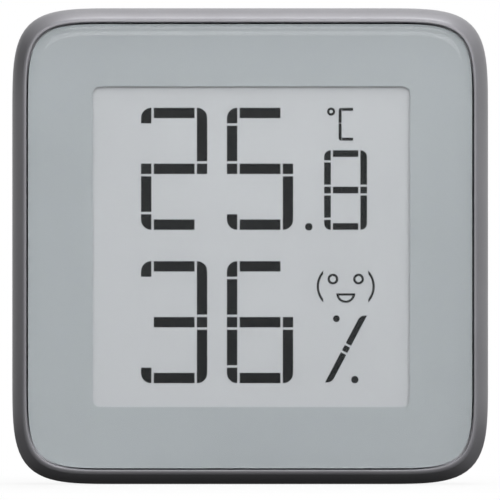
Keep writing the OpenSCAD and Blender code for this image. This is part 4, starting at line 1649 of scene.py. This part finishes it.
@dataclass
class StandLeg:
    """Fold-out leg: plate with a soft edge, barrel round its pin, and a slot for the rubber pad."""

    low: Vector
    high: Vector
    axis: tuple[float, float]
    plate_t: float = 2.1 * MM
    corner: float = 3.0 * MM
    edge: float = 0.3 * MM
    barrel_r: float = 1.6 * MM
    bore_r: float = 0.8 * MM
    frame_w: float = 3.0 * MM
    web: float = 1.2 * MM
    pad_len: float = 15.0 * MM
    pad_t: float = 1.0 * MM
    pad_d: float = 1.2 * MM
    corner_steps: int = 14
    edge_steps: int = 6
    margin: float = 0.3 * MM
    over: float = 1.0 * MM
    relief_gap: float = 1.5 * MM
    relief_r: float = 1.0 * MM
    barrel_sides: int = 48
    bore_sides: int = 32
    broken: float = 0.1 * MM

    def build(self) -> None:
        """Models the leg and dresses it."""
        inner = self.high.y - self.plate_t
        middle = (self.low.z + self.high.z) / 2
        piece = plate("stand_leg_plate", (self.low.x, self.low.z), (self.high.x, self.high.z), inner,
                      Facing.REAR)
        with editing(piece):
            round_corners(lambda vert: vert.co.z < middle, self.corner, self.corner_steps)
            push(self.plate_t - self.edge)
            round_edge(self.edge, self.edge, self.edge_steps)
            bpy.ops.mesh.inset(thickness=self.margin)
        length = self.high.x - self.low.x
        barrel = rod("barrel", (0.0, *self.axis), self.barrel_r, length, Along.X, self.barrel_sides)
        combine(piece, barrel, Mix.FUSE)
        bore = rod("bore", (0.0, *self.axis), self.bore_r, length + 2 * self.over, Along.X,
                   self.bore_sides)
        combine(piece, bore, Mix.CUT)
        centre = self.high.y - self.plate_t / 2
        slot = block("pad slot", (-self.pad_len / 2, centre - self.pad_t / 2, self.low.z - self.over),
                     (self.pad_len / 2, centre + self.pad_t / 2, self.low.z + self.pad_d))
        combine(piece, slot, Mix.CUT)
        relief_top = self.axis[1] - self.barrel_r - self.frame_w / 2
        relief_low = self.low.z + self.pad_d + self.relief_gap
        relief = soft_block("relief", (self.low.x + self.frame_w, relief_low),
                            (self.high.x - self.frame_w, relief_top), inner - self.over,
                            self.high.y - self.web, self.relief_r)
        combine(piece, relief, Mix.CUT)
        break_edges(piece, self.broken)
        publish(piece, COVER_ABS, "stand", "cover_plastic", "stand_leg")


@dataclass
class StandPad:
    """Rubber strip in the foot of the leg, with fine ribs along its tread."""

    low: Vector
    high: Vector
    rib_count: int = 3
    rib_d: float = 0.08 * MM
    rib_inset: float = 0.02 * MM
    broken: float = 0.03 * MM

    def build(self) -> None:
        """Models the strip with its ribs and dresses it."""
        piece = block("stand_pad_strip", tuple(self.low), tuple(self.high))
        with editing(piece):
            choose(Element.EDGE, lambda edge: abs(edge.verts[0].co.y - edge.verts[1].co.y) > self.rib_d)
            bpy.ops.mesh.subdivide(number_cuts=2 * self.rib_count)
            share = (self.high.y - self.low.y) / (2 * self.rib_count + 1)
            choose(Element.FACE, lambda face: face.normal.z < -FACING_LEAST
                   and int((face.calc_center_median().y - self.low.y) / share) % 2 == 1)
            bpy.ops.mesh.inset(thickness=self.rib_inset, use_individual=False)
            bpy.ops.mesh.extrude_region_move(TRANSFORM_OT_translate={"value": (0.0, 0.0, self.rib_d)})
        break_edges(piece, self.broken)
        publish(piece, PAD_RUBBER, "stand", "pad_rubber", "stand_pad")


@dataclass
class UnitButton:
    """Round push button with a dished face, a flange that holds it in, and a stem."""

    low: Vector
    high: Vector
    cap_r: float = 2.7 * MM
    flange_t: float = 0.8 * MM
    flange_level: float = 6.74 * MM
    stem_r: float = 1.5 * MM
    edge: float = 0.3 * MM
    dish: float = 0.25 * MM
    edge_steps: int = 6
    dish_steps: int = 8
    sides: int = 72
    broken: float = 0.05 * MM
    sharp: float = 50.0

    def build(self) -> None:
        """Models the button from its flange out to the dish and in to the stem, and dresses it."""
        centre = ((self.low.x + self.high.x) / 2, (self.low.z + self.high.z) / 2)
        radius = (self.high.x - self.low.x) / 2
        inner = self.flange_level - self.flange_t
        piece = disc("unit_button_cap", centre, radius, inner, Facing.REAR, self.sides)
        with editing(piece):
            push(self.flange_t)
            bpy.ops.mesh.inset(thickness=radius - self.cap_r)
            push(self.high.y - self.flange_level - self.edge)
            round_edge(self.edge, self.edge, self.edge_steps)
            bowl = self.cap_r - self.edge
            shares = [1 - step / self.dish_steps for step in range(self.dish_steps)]
            for start, end in zip(shares, shares[1:]):
                bpy.ops.mesh.inset(thickness=bowl / self.dish_steps,
                                   depth=self.dish * (end ** 2 - start ** 2))
            choose(Element.FACE, faces_at(inner, Facing.SCREEN))
            bpy.ops.mesh.inset(thickness=radius - self.stem_r)
            push(self.low.y - inner)
        break_edges(piece, self.broken, self.sharp)
        publish(piece, BUTTON_ABS, "button", "button_plastic", "unit_button")


class Insides:
    """Parts that keep their CAD shape and get the finish of their real material."""

    finishes: dict[str, Finish] = {
        "lens_tape": BLACK_FOAM, "display_gasket": BLACK_FOAM, "display_foam": BLACK_FOAM,
        "backplane": DISPLAY_GLASS, "display_flex": POLYIMIDE, "flex_connector": SOCKET_NYLON,
        "display_carrier": CARRIER_PC, "circuit_board": BOARD_LAMINATE, "board_screws": STEEL,
        "radio_chip": CHIP_EPOXY, "climate_sensor": CHIP_EPOXY, "crystal": NICKEL,
        "antenna_trace": COPPER, "chip_parts": CHIP_CERAMIC, "switch_body": NICKEL,
        "switch_plunger": HOLDER_NYLON, "battery_holder": HOLDER_NYLON, "positive_contact": BRONZE,
        "negative_contact": BRONZE, "coin_cell": STEEL, "hinge_pin": STEEL, "magnets": NICKEL,
        "vent_membrane": MEMBRANE_CLOTH,
    }

    def build(self) -> None:
        """Dresses each of them."""
        for node, finish in self.finishes.items():
            dress(node, finish)


@dataclass
class Softbox:
    """Area lamp that looks at the middle of the object and stays out of sight."""

    name: str
    turn: float
    rise: float
    distance: float
    size: tuple[float, float]
    watts: float
    glossy: bool = True

    def build(self, target: Vector) -> None:
        """Hangs the lamp.

        Args:
            target: Point that it looks at.
        """
        turn, rise = math.radians(self.turn), math.radians(self.rise)
        way = Vector((math.sin(turn) * math.cos(rise), -math.cos(turn) * math.cos(rise), math.sin(rise)))
        lamp = bpy.data.lights.new(self.name, "AREA")
        lamp.shape = "RECTANGLE"
        lamp.size, lamp.size_y = self.size
        lamp.energy = self.watts
        hung = bpy.data.objects.new(self.name, lamp)
        hung.location = target + way * self.distance
        hung.rotation_euler = way.to_track_quat("Z", "Y").to_euler()
        hung.visible_camera = False
        hung.visible_glossy = self.glossy
        bpy.context.scene.collection.objects.link(hung)


@dataclass
class Studio:
    """Pale floor, light tent and soft lamps, and a long lens straight before the screen."""

    target: Vector
    widest: float
    view_w: float = 65.15 * MM
    focal: float = 1000.0
    sensor: float = 36.0
    clip_start: float = 0.01
    aim_x: float = -0.02 * MM
    aim_z: float = 30.5 * MM
    white: str = "#FFFFFF"
    floor_pale: str = "#F4F4F4"
    floor_dull: str = "#3C3C3C"
    floor_size: float = 4.0
    tent_level: float = 0.17
    tent_lean: tuple[float, float, float] = (0.45, -0.4, 0.27)
    gloss_level: float = 0.175
    gloss_lean: tuple[float, float, float] = (0.22, 0.03, 0.47)
    tent_least: float = 0.05
    back_starts: float = 0.86
    back_full: float = 1.0
    shadow_share: float = 0.12
    shadow_near: float = 45.0 * MM
    shadow_far: float = 90.0 * MM
    # Glow of the floor in reflections close to the object: a painted shadow under it.
    floor_gloss_painted_shadow: float = 0.05
    gloss_far: float = 1.0
    before_bounce: float = 0.5
    lamps: tuple[Softbox, ...] = (
        Softbox("front_softbox", 5.0, 20.0, 0.7, (0.53, 0.28), 1.4),
        Softbox("top_softbox", 15.0, 66.0, 0.6, (0.36, 0.36), 0.8),
        Softbox("crown_softbox", 165.0, 68.0, 0.7, (0.4, 0.3), 1.4),
        Softbox("rear_softbox", 175.0, 12.0, 0.7, (0.5, 0.4), 4.0, glossy=False),
    )

    def seen_share(self, tree: bpy.types.NodeTree) -> bpy.types.NodeSocket:
        """Builds the share of rays that meet the pale background as the eye does.

        Args:
            tree: Node tree of the floor or the world.

        Returns:
            Socket that is 1 for camera, gloss and clear-glass rays before any diffuse bounce.
        """
        rays = put(tree, "LightPath").outputs
        clear = calc(tree, "MAXIMUM", rays["Is Camera Ray"], rays["Is Glossy Ray"])
        clear = calc(tree, "MAXIMUM", clear, rays["Is Transmission Ray"])
        first = calc(tree, "LESS_THAN", rays["Diffuse Depth"], self.before_bounce)
        return calc(tree, "MULTIPLY", clear, first)

    def tent(self, tree: bpy.types.NodeTree, way: bpy.types.NodeSocket, level: float,
             lean: tuple[float, float, float]) -> bpy.types.NodeSocket:
        """Builds the light of the tent, which leans to one side.

        Args:
            tree: Node tree of the world.
            way: Direction that is looked at.
            level: Mean brightness.
            lean: Change of brightness along each axis.

        Returns:
            Socket with the brightness.
        """
        leaned = put(tree, "VectorMath", {"operation": "DOT_PRODUCT"}, {0: way, 1: lean})
        total = calc(tree, "ADD", leaned.outputs["Value"], level)
        return calc(tree, "MAXIMUM", total, self.tent_least)

    def world(self) -> None:
        """Makes the light tent: white to the eye, brighter before and above the object than below it.

        Gloss meets the white backdrop behind the object and the dimmer walls of the tent beside it.
        """
        made = bpy.data.worlds.new("light_tent")
        tree = fresh_tree(made)
        way = put(tree, "TexCoord").outputs["Generated"]
        glossy = put(tree, "LightPath").outputs["Is Glossy Ray"]
        parts = put(tree, "SeparateXYZ", inputs={0: way})
        behind = put(tree, "MapRange", {"interpolation_type": "SMOOTHSTEP"},
                     {"Value": parts.outputs["Y"], "From Min": self.back_starts,
                      "From Max": self.back_full})
        walls = self.tent(tree, way, self.gloss_level, self.gloss_lean)
        seen = between(tree, glossy, 1.0, between(tree, behind.outputs["Result"], walls, 1.0))
        light = self.tent(tree, way, self.tent_level, self.tent_lean)
        level = between(tree, self.seen_share(tree), light, seen)
        sky = put(tree, "Background", inputs={"Color": linear(self.white), "Strength": level})
        put(tree, "OutputWorld", inputs={"Surface": sky.outputs[0]})
        bpy.context.scene.world = made

    def floor(self) -> None:
        """Lays the floor, which looks white, takes the object's shadow, throws little light back and has a
        painted shadow in reflections.
        """
        deselect()
        bpy.ops.mesh.primitive_plane_add(size=self.floor_size)
        laid = settle("studio_floor")
        made = bpy.data.materials.new("matt_studio_floor")
        tree = fresh_tree(made)
        place = put(tree, "TexCoord").outputs["Object"]
        glossy = put(tree, "LightPath").outputs["Is Glossy Ray"]
        away = put(tree, "VectorMath", {"operation": "LENGTH"}, {0: place}).outputs["Value"]
        shade = spread(tree, away, self.shadow_near, self.shadow_far, self.shadow_share, 0.0)
        # Painted shadow: in reflections the floor glows dimly near the object and rises to white far off.
        gloss_with_painted_shadow = spread(tree, away, self.shadow_near, self.gloss_far, self.floor_gloss_painted_shadow, 1.0)
        shine = put(tree, "Emission", inputs={"Color": linear(self.white),
                                              "Strength": between(tree, glossy, 1.0, gloss_with_painted_shadow)})
        pale = put(tree, "BsdfDiffuse", inputs={"Color": linear(self.floor_pale)})
        seen = put(tree, "MixShader", inputs={0: shade, 1: shine.outputs[0], 2: pale.outputs[0]})
        dull = put(tree, "BsdfDiffuse", inputs={"Color": linear(self.floor_dull)})
        both = put(tree, "MixShader", inputs={0: self.seen_share(tree), 1: dull.outputs[0],
                                              2: seen.outputs[0]})
        put(tree, "OutputMaterial", inputs={"Surface": both.outputs[0]})
        laid.data.materials.append(made)

    def camera(self) -> None:
        """Sets the camera straight before the screen."""
        made = bpy.data.cameras.new("front_camera")
        made.lens = self.focal
        made.sensor_width = self.sensor
        made.clip_start = self.clip_start
        held = bpy.data.objects.new("front_camera", made)
        held.location = (self.aim_x, self.widest - self.view_w * self.focal / self.sensor, self.aim_z)
        held.rotation_euler = (math.pi / 2, 0.0, 0.0)
        bpy.context.scene.collection.objects.link(held)
        bpy.context.scene.camera = held

    def build(self) -> None:
        """Sets up surroundings, floor, lamps and camera."""
        bpy.context.scene.view_settings.view_transform = "Standard"
        self.world()
        self.floor()
        for lamp in self.lamps:
            lamp.build(self.target)
        self.camera()


def middle_of(node: str) -> Vector:
    """Gives the middle of a CAD node's box."""
    low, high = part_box(node)
    return (low + high) / 2


def main() -> None:
    """Builds the sensor's pieces in order, then the studio round them."""
    logging.basicConfig(level=logging.INFO, format="%(name)s %(message)s")
    frame_low, frame_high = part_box("front_frame")
    lens_low, lens_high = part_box("front_lens")
    glass_low, glass_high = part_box("backplane")
    magnet_low, magnet_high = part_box("magnets")
    door_low, door_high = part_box("battery_door")
    leg_low, leg_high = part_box("stand_leg")
    pin = middle_of("hinge_pin")
    button = middle_of("unit_button")
    door = middle_of("battery_door")
    magnet_r = (magnet_high.z - magnet_low.z) / 2
    outline = Outline(frame_high.x)
    face_outline = Outline(frame_high.x, corner_rate=1.63)

    front = FrontFrame(face_outline, frame_low.y, frame_high.y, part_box("lens_tape")[1].y,
                       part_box("circuit_board")[0].y,
                       (glass_low.x - GLASS_GAP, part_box("display_flex")[0].z - GLASS_GAP),
                       (glass_high.x + GLASS_GAP, glass_high.z + GLASS_GAP))
    front.build()
    FrontLens(face_outline, lens_low.y, lens_high.y, frame_high.x - lens_high.x).build()
    MaskFilm(face_outline, *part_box("mask_film")).build()
    Display(InkSheet(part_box("epaper_film")[0].y, outline.half)).build()
    RearCover(outline, frame_high.y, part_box("rear_cover")[1].y, door.z, (pin.y, pin.z),
              (button.x, button.z), (magnet_high.x - magnet_r, magnet_low.z + magnet_r),
              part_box("vent_membrane")[1].x, middle_of("vent_membrane").z).build()
    BatteryDoor((door.x, door.z), door_high.y, door_low.y, door_high.x).build()
    StandLeg(leg_low, leg_high, (pin.y, pin.z)).build()
    StandPad(*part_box("stand_pad")).build()
    UnitButton(*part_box("unit_button")).build()
    Insides().build()
    Studio(Vector((0.0, 0.0, outline.half)), front.widest).build()


if __name__ == "__main__":
    main()
